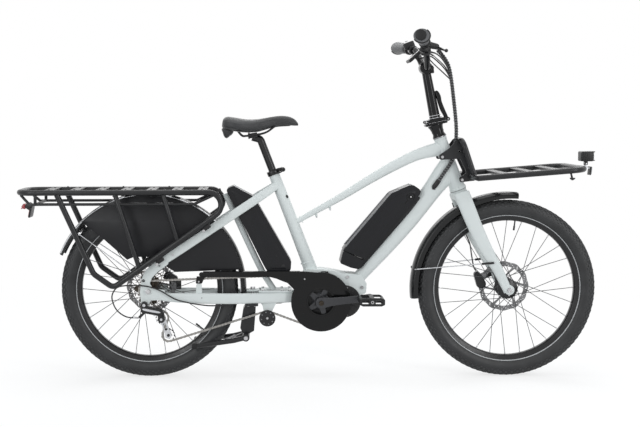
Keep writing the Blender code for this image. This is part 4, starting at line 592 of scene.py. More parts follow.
def tyre(x, body, name):
    """The carcass, its rows of tread blocks and the pale band round each sidewall."""
    centre = (x, TYRE_R)
    half = spline_rows([(255.4, 13.2), (259, 17.6), (266, 23.6), (276, 28.2), (286, 29.4), (297, 27.4),
        (305, 22.2), (310, 13.5), (311.6, 0)], 4)
    profile = half + [(r, -h) for r, h in half[-2::-1]]
    carcass = turned(profile, centre, 180)
    # Rows of tread blocks: distance left, radius, width, length, share of a step ahead, skew
    rows = [(0, 311.4, 7.6, 15, 0, 14)]
    for side in (-1, 1):
        rows += [(side * 8.6, 311, 6, 13, 0.5, -side * 20), (side * 15.8, 309, 6.2, 12, 0, side * 24),
            (side * 22, 305.4, 6, 11, 0.5, side * 14), (side * 26.6, 299, 5.6, 10, 0, side * 6),
            (side * 28.6, 292.4, 3.4, 7, 0.5, 0)]
    crown_r, count, height = 284, 92, 4.2
    bm = bmesh.new()
    for y, radius, wide, long, shift, skew in rows:
        lean = math.atan2(y, radius - crown_r)
        for i in range(count):
            a = 2 * math.pi * (i + shift) / count
            spot = at(x + radius * math.cos(a), y, TYRE_R + radius * math.sin(a))
            place = (Matrix.Translation(spot) @ Matrix.Rotation(-a, 4, "Y")
                @ Matrix.Rotation(lean, 4, "Z") @ Matrix.Rotation(math.radians(skew), 4, "X"))
            size = Matrix.Diagonal((height * MM, wide * MM, long * MM, 1))
            lug = bmesh.ops.create_cube(bm, size=1, matrix=place @ size)
            for vertex in lug["verts"]:
                inwards = place.inverted() @ vertex.co
                if inwards.x > 0:
                    vertex.co = place @ Vector((inwards.x, inwards.y * 0.8, inwards.z * 0.86))
    show(carcass, name, body, "tyre", name)
    show(mesh_piece(bm), name + "_tread", body, "tyre", look=TREAD_RUBBER)
    bands = [turned([(257.6, s * 17), (257.6, s * 17.7), (260.4, s * 20.3), (260.6, s * 19)], centre, 180)
        for s in (-1, 1)]
    show(joined(*bands), name + "_band", body, "tyre", look=REFLECTIVE)


def rim(x, body, name, left_flange, right_flange, flange_r):
    """The rim with its laced spokes with nipples, and the valve."""
    centre = (x, TYRE_R)
    inner, edge = RIM_R - RIM_DEPTH, RIM_WIDTH / 2
    section = eased([(253.6, 13.6), (RIM_R - 1, edge - 3.2), (RIM_R - 1, edge), (257, edge),
        (inner + 3, 12), (inner, 7), (inner, -7), (inner + 3, -12), (257, -edge), (RIM_R - 1, -edge),
        (RIM_R - 1, 3.2 - edge), (253.6, -13.6)], 2)
    show(turned(section, centre, 180), name, body, "black_metal", name)
    per_side = SPOKES // 2
    pitch = 2 * math.pi / per_side
    spokes, nipples = [], []
    for side, flange in ((1, left_flange), (-1, right_flange)):
        for i in range(per_side):
            lead = 1 if i % 2 else -1
            hub_angle = i * pitch + (pitch / 2 if side < 0 else 0)
            rim_angle = hub_angle + lead * 3 * pitch
            hub_y = flange + lead * side * 3.6
            a = (x + flange_r * math.cos(hub_angle), hub_y, TYRE_R + flange_r * math.sin(hub_angle))
            b = (x + (inner + 1) * math.cos(rim_angle), side * 2, TYRE_R
                + (inner + 1) * math.sin(rim_angle))
            head = (a[0], flange - lead * side * 1.5, a[2])
            spokes.append(tube([head, a, between(a, b, 0.02), between(a, b, 0.15), b], 1,
                [1.3, 1.3, 1.25, 1.15, 1.15], 8))
            nipples.append(rod(between(a, b, 0.945), between(a, b, 1.02), 1.9, 2.4, 0.3))
    show(joined(*spokes), name + "_spokes", body, "bare_metal", look=SPOKE_STEEL)
    show(joined(*nipples), name + "_nipples", body, "axle_steel")
    valve = on_side([polar(centre, r, 83 if x else -38) for r in (242, 222, 222.5, 206)], 0)
    show(joined(rod(valve[0], valve[1], 2.6), rod(valve[2], valve[3], 3.4)), name + "_valve", body,
        "black_metal")


def rotor(x, y):
    """A pierced brake ring on six swept arms."""
    centre = (x, TYRE_R)
    windows = []
    for base in range(0, 360, 60):
        windows.append(arc(centre, 72, base + 6, base + 58, 8) + [polar(centre, 52, base + 66)]
            + arc(centre, 31, base + 78, base + 36, 5) + [polar(centre, 52, base + 13)])
        for k, radius in enumerate((76.6, 80.4, 84.2)):
            for turn in (2, 17, 32):
                windows.append(circle(polar(centre, radius, base + turn + k * 5), 1.5, 10))
        windows.append([polar(centre, 75.6, base + 50), polar(centre, 84.6, base + 54),
            polar(centre, 84.6, base + 56), polar(centre, 75.6, base + 52)])
    wave = [polar(centre, 90 - 1.4 * (1 - math.cos(math.radians(a * 12))), a) for a in range(0, 360, 3)]
    return plate(wave, y - 0.9, y + 0.9, [circle(centre, 17, 40), *windows], 0)


def hub(x, body, name, profile, disc_y):
    """The hub's shell, and the brake rotor on its carrier with six screws."""
    centre = (x, TYRE_R)
    show(turned(profile, centre, 72), name, body, "black_metal", name)
    show(rotor(x, disc_y), name + "_rotor", body, "bare_metal", look=ROTOR_STEEL)
    screws = [bolt_head(polar(centre, 22, 60 * i + 30), disc_y + 0.8, 3.4, 1) for i in range(6)]
    carrier = turned([(16, disc_y - 3.6), (27, disc_y - 3.6), (27, disc_y - 1.1),
        (16, disc_y - 1.1)], centre, 60)
    show(joined(carrier, *screws), name + "_rotor_mount", body, "black_metal")


def wheels():
    tyre(WHEELBASE, "front_wheel", "front_tyre")
    tyre(0, "rear_wheel", "rear_tyre")
    rim(WHEELBASE, "front_wheel", "front_rim", 28, -28, 33)
    rim(0, "rear_wheel", "rear_rim", 25, -20, 27)
    front = [(6.5, 44.4), (9.6, 44.4), (10.4, 43.4), (12, 41.6), (19, 40.2), (20, 39), (20, 29.8),
        (35.2, 29), (36, 28.4), (36, 27.6), (35.2, 27), (22, 26.2), (18.5, 24), (16.8, 19),
        (16, 8), (16, -8), (16.8, -19), (18.5, -24), (22, -26.2), (35.2, -27), (36, -27.6),
        (36, -28.4), (35.2, -29), (20, -30.2), (17, -32), (16, -37), (12, -40), (10.4, -43.4),
        (9.6, -44.4), (6.5, -44.4)]
    hub(WHEELBASE, "front_wheel", "front_hub", front, 39)
    rear = [(6.5, 67.2), (9.2, 67.2), (10, 66), (14, 60), (19.6, 54.6), (19.6, 30), (20.5, 27.6),
        (29.2, 26), (30, 25.4), (30, 24.6), (29.2, 24), (20, 23.2), (17.2, 21), (16, 14), (16, -10),
        (17.2, -16), (20, -18.2), (29.2, -19), (30, -19.6), (30, -20.4), (29.2, -21), (15, -23),
        (14, -26), (14, -65), (12, -66), (6.5, -67.2)]
    hub(0, "rear_wheel", "rear_hub", rear, 52)
    axle("front_axle", WHEELBASE, "steering", 76, -74, 66)
    axle("rear_axle", 0, "frame", 84, -84, DROPOUT_OUT)


def axle(name, x, body, left_end, right_end, nut):
    """The axle, with a washer, a hexagonal nut and a threaded end on both sides."""
    centre = (x, TYRE_R)
    pieces = [across(centre, right_end + 2, left_end - 2, 4.6)]
    for out, end in ((1, left_end), (-1, right_end)):
        inner = out * (nut + 0.4)
        washer = [(5.8, inner), (9, inner), (9, inner + out * 1.4), (5.8, inner + out * 1.4)]
        pieces.append(turned(washer, centre, 40))
        hexagon = [polar(centre, 8.9, 60 * k + 20) for k in range(6)]
        pieces.append(plate(hexagon, inner + out * 1.6, end - out, [circle(centre, 4.5, 24)]))
    show(joined(*pieces), name, body, "axle_steel", name)


# Chain drive

def pitch_radius(teeth):
    return PITCH / 2 / math.sin(math.pi / teeth)


class Wheel:
    """A toothed wheel on the chain's path: its centre, its teeth and which way it turns."""

    def __init__(self, centre, teeth, sense):
        self.centre = Vector(centre)
        self.teeth = teeth
        self.sense = sense
        self.radius = pitch_radius(teeth)
        self.phase = 0


def right_of(heading):
    return Vector((math.sin(heading), -math.cos(heading)))


def tangent(first, second):
    """The heading of the straight run that leaves one wheel and meets the next."""
    gap = second.centre - first.centre
    swing = math.asin((first.sense * first.radius - second.sense * second.radius) / gap.length)
    return math.atan2(gap.y, gap.x) + swing


def chain_wheels(cage_angle):
    tension = (GUIDE[0] + CAGE_LENGTH * math.cos(cage_angle), GUIDE[1]
        + CAGE_LENGTH * math.sin(cage_angle))
    return [Wheel(BB, RING_TEETH, 1), Wheel((0, TYRE_R), COG_TEETH, 1), Wheel(GUIDE, PULLEY_TEETH, -1),
        Wheel(tension, PULLEY_TEETH, 1), Wheel(IDLER, IDLER_TEETH, -1)]


def chain_path(wheels):
    """Stretches of the loop: arcs on the wheels and straight runs, in chain pitches."""
    count = len(wheels)
    headings = [tangent(wheels[i], wheels[(i + 1) % count]) for i in range(count)]
    stretches = []
    for i, wheel in enumerate(wheels):
        heading_in = headings[i - 1]
        wrap = (wheel.sense * (headings[i] - heading_in)) % (2 * math.pi)
        stretches.append(("arc", wheel, heading_in, wrap * wheel.teeth / (2 * math.pi)))
        after = wheels[(i + 1) % count]
        side = right_of(headings[i])
        start = wheel.centre + side * wheel.sense * wheel.radius
        end = after.centre + side * after.sense * after.radius
        stretches.append(("line", start, end, (end - start).length / PITCH))
    return stretches


def chain_length(cage_angle):
    return sum(stretch[3] for stretch in chain_path(chain_wheels(cage_angle)))


def cage_angle_for(links):
    """The cage angle near its drawn one at which the loop is exactly this many pitches."""
    low = CAGE_ANGLE - 0.5
    high = CAGE_ANGLE + 0.5
    rising = chain_length(high) > chain_length(low)
    for _ in range(60):
        middle = (low + high) / 2
        if (chain_length(middle) < links) == rising:
            low = middle
        else:
            high = middle
    return (low + high) / 2


def chain_pins(wheels, links):
    """The pin centres in side view, and each wheel's tooth phase to suit them."""
    pins = []
    done = 0
    for kind, first, second, length in chain_path(wheels):
        index = math.ceil(done - 1e-6)
        if kind == "arc":
            step = 2 * math.pi / first.teeth
            base = right_of(second) * first.sense
            start_angle = math.atan2(base.y, base.x)
            first.phase = start_angle + first.sense * (index - done) * step
        while index < min(done + length, links) - 1e-6:
            if kind == "arc":
                angle = start_angle + first.sense * (index - done) * step
                offset = Vector((math.cos(angle), math.sin(angle))) * first.radius
                pins.append(first.centre + offset)
            else:
                pins.append(first + (second - first).normalized() * (index - done) * PITCH)
            index += 1
        done += length
    return pins


def sprocket(wheel, y_low, y_high, bore, holes=()):
    """A chainwheel plate with round valleys for the rollers and narrow tips."""
    step = 2 * math.pi / wheel.teeth
    outline = []
    for i in range(wheel.teeth):
        pin = wheel.phase + i * step
        spot = (wheel.centre.x + wheel.radius * math.cos(pin), wheel.centre.y
            + wheel.radius * math.sin(pin))
        inward = math.degrees(pin) + 180
        outline += arc(spot, ROLLER_R + 0.2, inward - 62, inward + 62, 4)
        for share, extra in ((0.4, 2.2), (0.5, 2.9), (0.6, 2.2)):
            a = math.degrees(pin + share * step)
            outline.append(polar(wheel.centre, wheel.radius + extra, a))
    return plate(outline, y_low, y_high, [circle(wheel.centre, bore, 36), *holes], 0)


def link_plate(bm, a, b, y, thick, end_r):
    """One side plate of a link, narrow between its two pins."""
    waist = 2.9
    ahead = (b - a).normalized()
    up = Vector((-ahead.y, ahead.x))
    outline = []
    for centre, start in ((b, -75), (a, 105)):
        for k in range(6):
            turn = math.radians(start + 30 * k)
            outline.append(centre + ahead * end_r * math.cos(turn) + up * end_r * math.sin(turn))
        side = 1 if centre is b else -1
        outline.append((a + b) / 2 + up * waist * side)
    low = [bm.verts.new(at(p.x, y - thick / 2, p.y)) for p in outline]
    high = [bm.verts.new(at(p.x, y + thick / 2, p.y)) for p in outline]
    bm.faces.new(low)
    bm.faces.new(high[::-1])
    count = len(outline)
    for k in range(count):
        bm.faces.new((low[k], high[k], high[(k + 1) % count], low[(k + 1) % count]))


def chain_run(pins, numbers):
    """The links from these pins to the next ones: plates, rollers and riveted pins."""
    bm = bmesh.new()
    count = len(pins)
    turn = Matrix.Rotation(math.pi / 2, 4, "X")
    for i in numbers:
        a, b = pins[i], pins[(i + 1) % count]
        outer = i % 2
        for side in (-1, 1):
            link_plate(bm, a, b, CHAIN_Y + side * (2.75 if outer else 1.75), 0.85, 4.1 if outer else 3.9)
        place = Matrix.Translation(at(a.x, CHAIN_Y, a.y)) @ turn
        bmesh.ops.create_cone(bm, cap_ends=True, segments=10, radius1=ROLLER_R * MM * 0.97,
            radius2=ROLLER_R * MM * 0.97, depth=2.5 * MM, matrix=place)
        bmesh.ops.create_cone(bm, cap_ends=True, segments=8, radius1=1.7 * MM, radius2=1.7 * MM,
            depth=7 * MM, matrix=place)
    return mesh_piece(bm)


def chain(pins, wheels):
    """The chain in three runs: the cage's own, the run from it to the idler, and the rest."""
    guide, tension, idler = wheels[2:]
    reach = 2

    def pins_on(wheel):
        return [i for i, p in enumerate(pins) if abs((p - wheel.centre).length - wheel.radius) < reach]

    cage_start, cage_end, lower_end = max(pins_on(guide)), max(pins_on(tension)), min(pins_on(idler))
    cage_numbers = list(range(cage_start, cage_end))
    lower_numbers = list(range(cage_end, lower_end))
    rest = [i for i in range(len(pins)) if i not in cage_numbers and i not in lower_numbers]
    show(chain_run(pins, rest), "chain_main", "frame", "chain_steel", "chain")
    show(chain_run(pins, cage_numbers), "chain_in_cage", "derailleur_cage", "chain_steel")
    lower = show(chain_run(pins, lower_numbers), "chain_lower", None, "chain_steel")
    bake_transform(lower)


def cassette(cog_wheel):
    """Seven sprockets with their spacers, and the lock ring."""
    axis = (0, TYRE_R)
    first_y = CHAIN_Y - COGS.index(COG_TEETH) * COG_SPACING
    pieces = []
    for i, teeth in enumerate(COGS):
        wheel = cog_wheel
        y = first_y + i * COG_SPACING
        if teeth != COG_TEETH:
            wheel = Wheel(axis, teeth, 1)
            wheel.phase = 0.21 * i
        holes = []
        if teeth > 19:
            ring_r = (wheel.radius + 19) / 2
            holes = [circle(polar(wheel.centre, ring_r, 60 * k + 9 * i), (wheel.radius - 24) * 0.22, 16)
                for k in range(6)]
        pieces.append(sprocket(wheel, y - 0.9, y + 0.9, 15, holes))
        if i < len(COGS) - 1:
            spacer = [(14.9, y + 0.9), (19, y + 0.9), (19, y + COG_SPACING - 0.9),
                (14.9, y + COG_SPACING - 0.9)]
            pieces.append(turned(spacer, axis, 40))
    ring = [(11, first_y - 0.9), (17.4, first_y - 0.9), (17.4, first_y - 2), (16.4, first_y - 2.6),
        (11, first_y - 2.6)]
    pieces.append(turned(ring, axis, 48))
    show(joined(*pieces), "cassette", "cassette", "chain_steel", "cassette", look=DARK_STEEL, sharp=28)


def pulley(name, wheel):
    """A jockey wheel of the changer on its boss."""
    holes = [circle(polar(wheel.centre, 11.4, 72 * k), 2.1, 12) for k in range(5)]
    disc = sprocket(wheel, CHAIN_Y - 1, CHAIN_Y + 1, 3.4, holes)
    boss = [(3.4, CHAIN_Y + 3.6), (6.6, CHAIN_Y + 3.6), (7.4, CHAIN_Y + 2.4), (7.4, CHAIN_Y - 2.4),
        (6.6, CHAIN_Y - 3.6), (3.4, CHAIN_Y - 3.6)]
    show(joined(turned(boss, wheel.centre, 36), disc), name, name, "black_plastic", name)


def idler_wheel(wheel):
    """The idler with its pierced guard disc and its bolt cap."""
    disc = sprocket(wheel, CHAIN_Y - 1, CHAIN_Y + 1, 4.6)
    holes = [circle(polar(wheel.centre, 21.5, 45 * k + 12), 2.5, 16) for k in range(8)]
    guard = plate(circle(wheel.centre, 29, 96), CHAIN_Y - 6.4, CHAIN_Y - 4.2,
        [circle(wheel.centre, 4.6, 24), *holes], 0.6)
    boss = [(4.6, CHAIN_Y + 3), (10.4, CHAIN_Y + 3), (11, CHAIN_Y + 2.2), (11, CHAIN_Y - 4.3),
        (4.6, CHAIN_Y - 4.3)]
    hub_ring = [(5, CHAIN_Y - 6.3), (13, CHAIN_Y - 6.3), (12, CHAIN_Y - 7), (5, CHAIN_Y - 7)]
    backing = plate(circle(wheel.centre, 26, 80), CHAIN_Y - 4.2, CHAIN_Y - 3.6,
        [circle(wheel.centre, 6, 24)], 0.1)
    show(joined(turned(boss, wheel.centre, 40), disc, guard, turned(hub_ring, wheel.centre, 40)),
        "idler_wheel", "idler_wheel", "black_plastic", "idler_wheel")
    show(backing, "idler_backing", "idler_wheel", "grey_plastic")
    show(joined(bolt_head(IDLER, CHAIN_Y - 4.6, 4.4, -1), across(IDLER, CHAIN_Y - 4.4, -38, 3.6)),
        "idler_bolt", "frame", "axle_steel")


# Cranks, pedals and derailleur

def crank_end(side):
    rise = CRANK_RISE if side < 0 else CRANK_RISE + math.pi
    return (BB[0] + CRANK * math.cos(rise), BB[1] + CRANK * math.sin(rise))


def crank_arm(side):
    """A forged arm, thick at the spindle and slim at the pedal."""
    end = crank_end(side)
    y = side * (CRANK_FACE + CRANK_THICK / 2)
    rows = [(0, 39, 12), (0.08, 37, 12), (0.22, 30, 12), (0.55, 26, 11.4), (0.85, 26, 11.6),
        (0.96, 28, 12), (1, 28, 12)]
    stations = [(*along(BB, end, share, y=y), tall, deep) for share, tall, deep in rows]
    arm = lofted(stations, 4, 40, 5)
    caps = [across(spot, side * CRANK_FACE, side * (CRANK_FACE + CRANK_THICK), radius, edge=1.6) for spot,
        radius in ((BB, 19.6), (end, 14))]
    return joined(arm, *caps)


def crank_set(ring):
    """Both arms, the spider, the chainring and the spindle's bolts."""
    bore = 11.9
    hub_profile = [(bore, -47.6), (32, -47.6), (33, -48.6), (33, -51), (26, -54.5), (20, -60),
        (19, -CRANK_FACE - 1), (bore, -CRANK_FACE - 1)]
    turns = [72 * i - 4 for i in range(5)]
    spider = [plate(tongue(polar(BB, 16, turn), 11, polar(BB, 60, turn), 6.5, 8), -58, -51.5, (), 1.2)
        for turn in turns]
    windows = [eased(arc(BB, 79, turn + 12, turn + 60, 10) + arc(BB, 62, turn + 60, turn + 48, 3)
        + [polar(BB, 46, turn + 36)] + arc(BB, 62, turn + 24, turn + 12, 3), 4) for turn in turns]
    disc = sprocket(ring, CHAIN_Y - 1.1, CHAIN_Y + 1.1, bore + 1.5, windows)
    show(joined(turned(hub_profile, BB, 72), crank_arm(-1), *spider), "crank_right", "crank",
        "black_metal", "crank_right", look=CRANK_FACED)
    show(disc, "chainring", "crank", "chain_steel", look=DARK_STEEL)
    studs = [bolt_head(polar(BB, 60, turn), -58, 4.2, -1) for turn in turns]
    studs.append(bolt_head(BB, -CRANK_FACE - CRANK_THICK + 0.6, 9, -1))
    studs.append(bolt_head(BB, CRANK_FACE + CRANK_THICK - 0.6, 9, 1))
    show(joined(*studs), "crank_bolts", "crank", "bare_metal", look=DARK_STEEL)
    spindle = across(BB, -CRANK_FACE, CRANK_FACE + 2, 11.4)
    boss = across(BB, 64.8, CRANK_FACE + 1, 18, edge=1.2)
    show(joined(crank_arm(1), boss, spindle), "crank_left", "crank", "black_metal", "crank_left",
        look=CRANK_FACED)


def pedal(name, side):
    """A caged platform with grip pins, its bearing barrel and its axle boss."""
    x, z = crank_end(side)
    inner = CRANK_FACE + CRANK_THICK + 0.4
    near, far, length, height = 99, 187, 86, 28
    middle = side * (near + far) / 2
    outline = eased([(x - length / 2, z - 9), (x - length / 2, z + 9), (x - 32, z + height / 2),
        (x + 32, z + height / 2), (x + length / 2, z + 9), (x + length / 2, z - 9),
        (x + 32, z - height / 2), (x - 32, z - height / 2)], 5)
    slots = [eased([(x + s * 23 - 12, z - 6.5), (x + s * 23 + 12, z - 6.5), (x + s * 23 + 12, z + 6.5),
        (x + s * 23 - 12, z + 6.5)], 2.5) for s in (-1, 1)]
    body = plate(outline, side * near, side * far, slots, 0)
    wells = [block((x + s * 21, middle, z), (27, 70, height * 2), edge=4) for s in (-1, 1)]
    parts = [soften(cut(body, *wells), 0.7, 1), across((x, z), side * near, side * (far - 2), 10, edge=1),
        across((x, z), side * inner, side * (near + 2), 9, 8)]
    for forward in (-36, -7, 7, 36):
        tall = height / 2 if abs(forward) < 30 else 12
        for out in (near + 8, (near + far) / 2, far - 8):
            parts.append(rod((x + forward, side * out, z - tall - 0.4),
                (x + forward, side * out, z + tall + 0.4), 1.8))
    show(joined(*parts), name, name, "black_plastic", name)
    bars = [block((x + s * 41.6, middle, z), (2.4, 46, 8), edge=1) for s in (-1, 1)]
    show(joined(*bars), name + "_reflectors", name, "grey_plastic", look=REFLECTIVE)
    show(bolt_head((x, z), side * (far - 2.4), 6, side), name + "_cap", name, "axle_steel")


def derailleur(tension):
    """The changer: its body with a pale strip, the knuckles, the adjuster and the open cage."""
    hanger = (-13, 268)
    low = (tension.centre.x, tension.centre.y)
    body = lofted([(-26, -82.5, 255, 20, 13), (-15, -82.5, 252.5, 27, 15), (16, -82.5, 246, 26, 15),
        (44, -82.5, 240, 25, 14), (54, -82.5, 238, 17, 11)], 3, 36, 5, 3)
    knuckle = across(hanger, -DROPOUT_OUT - 0.3, -92, 12, edge=1.6)
    lower = across(GUIDE, -55.8, -88, 13.6, 12.6, 1.6)
    web = plate(tongue(GUIDE, 12, (44, 240), 11, 8), -84, -70, (), 1.5)
    screw = [(-32, -80, 223), (-12, -80, 241)]
    ribs = [rod(between(*screw, s), between(*screw, s + 0.07), 5.2) for s in (0.15, 0.3, 0.45)]
    show(joined(body, knuckle, lower, web, rod(*screw, 4.5), *ribs), "derailleur_mount", "frame",
        "black_metal", "derailleur_mount")
    strip = lofted([(-19, -90.6, 254, 8, 2.6), (10, -91, 248, 8, 2.6),
        (44, -90.4, 241.5, 7, 2.6)], 4, 20, 6, 2)
    screws = [bolt_head(hanger, -91.8, 6, -1), bolt_head(GUIDE, -87.8, 5, -1),
        bolt_head((22, 232), -89.6, 2.6, -1), bolt_head((30, 230), -89.2, 2.6, -1)]
    show(joined(strip, *screws), "derailleur_trim", "frame", "bare_metal")
    cage(low)


def cage(low):
    """The changer's two cage plates, its pins and its caps."""
    inner_y, outer_y, thick, waist = CHAIN_Y + 4.3, CHAIN_Y - 4.3, 1.8, 9.4
    window = tongue(along(GUIDE, low, 0.38)[::2], 5.2, along(GUIDE, low, 0.64)[::2], 5.2, 8)
    a, b = Vector(GUIDE), Vector(low)
    ahead = (b - a).normalized()
    side_on = Vector((-ahead.y, ahead.x))
    heading = math.degrees(math.atan2(ahead.y, ahead.x))
    outline = (arc(low, 11.5, heading - 78, heading + 78, 14) + [tuple((a + b) / 2 + side_on * waist)]
        + arc(GUIDE, 12.5, heading + 102, heading + 258, 14) + [tuple((a + b) / 2 - side_on * waist)])
    outer = plate(outline, outer_y - thick, outer_y, [window, circle(low, 4.6, 24)])
    inner = plate(outline, inner_y, inner_y + thick)
    caps = [across(spot, outer_y - 3.4, outer_y, 5.4) for spot in (GUIDE, low)]
    pins = [across(spot, inner_y + 2.4, outer_y - 2.6, 2.6) for spot in (GUIDE, low)]
    show(joined(outer, inner, *pins), "derailleur_cage", "derailleur_cage", "bare_metal",
        "derailleur_cage")
    show(joined(*caps), "derailleur_caps", "derailleur_cage", "black_metal")


def chain_guard():
    """The guard's disc and arm, its turned-in rim, its bracket and screws."""
    outer_y, thick, rim_in = -64.5, 2.5, -44
    flange_r = 105
    tail = (186, 372)
    outline = (arc(BB, flange_r, 96, -205, 80) + [(488, 341), (474, 346), (450, 356), (427, 362),
        (200, 362)] + arc(tail, 8, 250, 92, 10) + [(540, 382)])
    face = plate(outline, outer_y, outer_y + thick, [circle(BB, 46, 72)], 0.9)
    rim_arc = plate(arc(BB, flange_r - 0.5, 91, -70, 60) + arc(BB, flange_r - 1.9, -70, 91, 60), outer_y
        + 1, rim_in, (), 0.3)
    rim_arm = plate([(192, 378.7), (531, 380), (532, 382), (192, 381)], outer_y + 1, rim_in, (), 0.3)
    lip = turned([(45, outer_y - 0.8), (50, outer_y - 0.8), (50.6, outer_y),
        (45.6, outer_y + 0.6)], BB, 72)
    bracket = plate(eased([(166, 340), (188, 340), (199, 364), (170, 366)], 3), outer_y, outer_y
        + thick, (), 0.6)
    tab = plate([(607, 376), (631, 374.5), (632, 379), (607, 379)], rim_in - 2, -CRADLE_HALF
        - 0.3, (), 0.4)
    show(joined(face, rim_arc, rim_arm, lip, bracket, tab), "chain_guard", "frame", "carrier_paint",
        "chain_guard", look=GUARD_GLOSS)
    show(joined(bolt_head((177, 347), outer_y, 3.6, -1), bolt_head((548, 355), outer_y, 3, -1)),
        "chain_guard_screws", "frame", "axle_steel")


# Frame

def head_cone(low=-1, high=1, extra=0):
    """Part of the head tube's outside, or a little more."""
    middle, spread = 24.5, 3.5
    return rod(steer(HEAD_HALF * low), steer(HEAD_HALF * high), middle - spread * low + extra, middle
        - spread * high + extra)


def seat_rod(radius, start, end, end_radius=None):
    """A round bar along the seat tube between two shares of it."""
    return rod(along(SEAT_TOP, SEAT_LOW, start), along(SEAT_TOP, SEAT_LOW, end), radius, end_radius)


def post_bores():
    """The post's way through the tube, as its slide leans a little less than the tube does."""
    lean = math.atan2(SEAT_LOW[0] - SEAT_TOP[0], SEAT_TOP[1] - SEAT_LOW[1])
    ends = [along(SEAT_TOP, SEAT_LOW, share) for share in (-0.1, 0.7)]
    bores = []
    for travel in POST_TRAVEL:
        sway = travel * math.sin(lean - SLIDE_LEAN)
        moved = [(x + sway * math.cos(lean), y, z + sway * math.sin(lean)) for x, y, z in ends]
        bores.append(rod(*moved, POST_R + 1))
    return bores


def cradle_outline():
    return [(528, 262), (528, 335), (552, 385), (612, 385), (650, 379), (684, 372), (726, 368),
        (748, 364), (768, 335), (766, 300), (745, 293), (745, 262)]


def clamp_slot():
    """The cut in the front of the seat tube's mouth that lets its clamp close."""
    return block((SEAT_TOP[0] + 22, 0, SEAT_TOP[1] + 2), (34, 4, 60), tilt=SEAT_TILT, edge=0)


def down_tube():
    rows = [(735, 342, 44, 46), (759, 370, 45, 46), (842, 462, 53, 48), (925.5, 560.6, 59, 49),
        (1000, 661, 66, 48), (1040, 714, 78, 46), (1066, 748, 82, 42)]
    return lofted([(x, 0, z, d, w) for x, z, d, w in rows], 2.4, 48)


def front_frame():
    """Head tube, top tube and down tube with their welds, cable stops and small bosses."""
    top = lofted([(525, 0, 552.6, 17.3, 24.3), (560, 0, 573, 19, 26), (676, 0, 637, 25, 32),
        (780, 0, 700, 30, 36), (865, 0, 748, 35, 38), (940, 0, 784, 38, 38), (1000, 0, 802, 46, 38),
        (1045, 0, 811, 50, 36)], 2.8, 48)
    collars = [head_cone(0.90, 1, 1.2), head_cone(-1, -0.90, 1.6)]
    bosses = [rod((x, 0, z), (x + 3, 0, z - 15), 5, 3.5) for x, z in ((590, 582), (638, 608))]
    pieces = [head_cone(), top, down_tube(), *collars, *bosses]
    pieces.append(weld_bead((538, 0, 559), (0.9, 0, 0.5), 11.5, 1.6))
    show(joined(*pieces), "front_frame", "frame", "frame_paint", "front_frame")
    seal = rod(steer(-HEAD_HALF - 1.2), steer(-HEAD_HALF + 0.8), SEAL_R, edge=0.2)
    show(seal, "head_seal", "frame", "black_plastic")
    screws = [bolt_head(spot, -2, 2.6, -1) for spot in ((593, 567), (641, 593))]
    show(joined(*screws), "frame_boss_screws", "frame", "axle_steel")


def seat_tube():
    """The seat tube and its clamp over the motor's cradle."""
    shaft = seat_rod(SEAT_TUBE_R, 0, 1, 23)
    collar = seat_rod(SEAT_TUBE_R + 3.2, -0.008, 0.032)
    upper = cut(shaft, *post_bores(), clamp_slot())
    collar = cut(collar, *post_bores(), clamp_slot())
    ears = [block((465, s * 6.5, 737), (18, 7, 12), tilt=SEAT_TILT, edge=2) for s in (-1, 1)]
    cradle = plate(eased(cradle_outline(), 9, 6), -CRADLE_HALF, CRADLE_HALF, (), 2.5, 3)
    tail = lofted([(588, 0, 326, 46, 46), (570, 0, 380, 46, 44), (545, 0, 449, 36, 36)], 2.2, 44)
    bead = weld_bead((559, 0, 408), (0.33, 0, -0.94), 21.6, 2)
    show(joined(upper, cradle, tail, bead), "seat_tube", "frame", "frame_paint", "seat_tube")
    show(joined(collar, *ears), "seat_clamp", "frame", "black_metal")
    plug = lofted([(485, -16.6, 648, 5, 2), (488, -17.4, 642, 8, 3.4),
        (491, -16.6, 636, 5, 2)], 2, 20, 4, 3)
    cradle_bolts = [bolt_head(spot, s * CRADLE_HALF, 6, s) for s in (-1, 1)
        for spot in ((751, 321), (700, 358))]
    show(plug, "seat_tube_plug", "frame", "black_plastic")
    show(joined(*cradle_bolts), "cradle_bolts", "frame", "axle_steel")


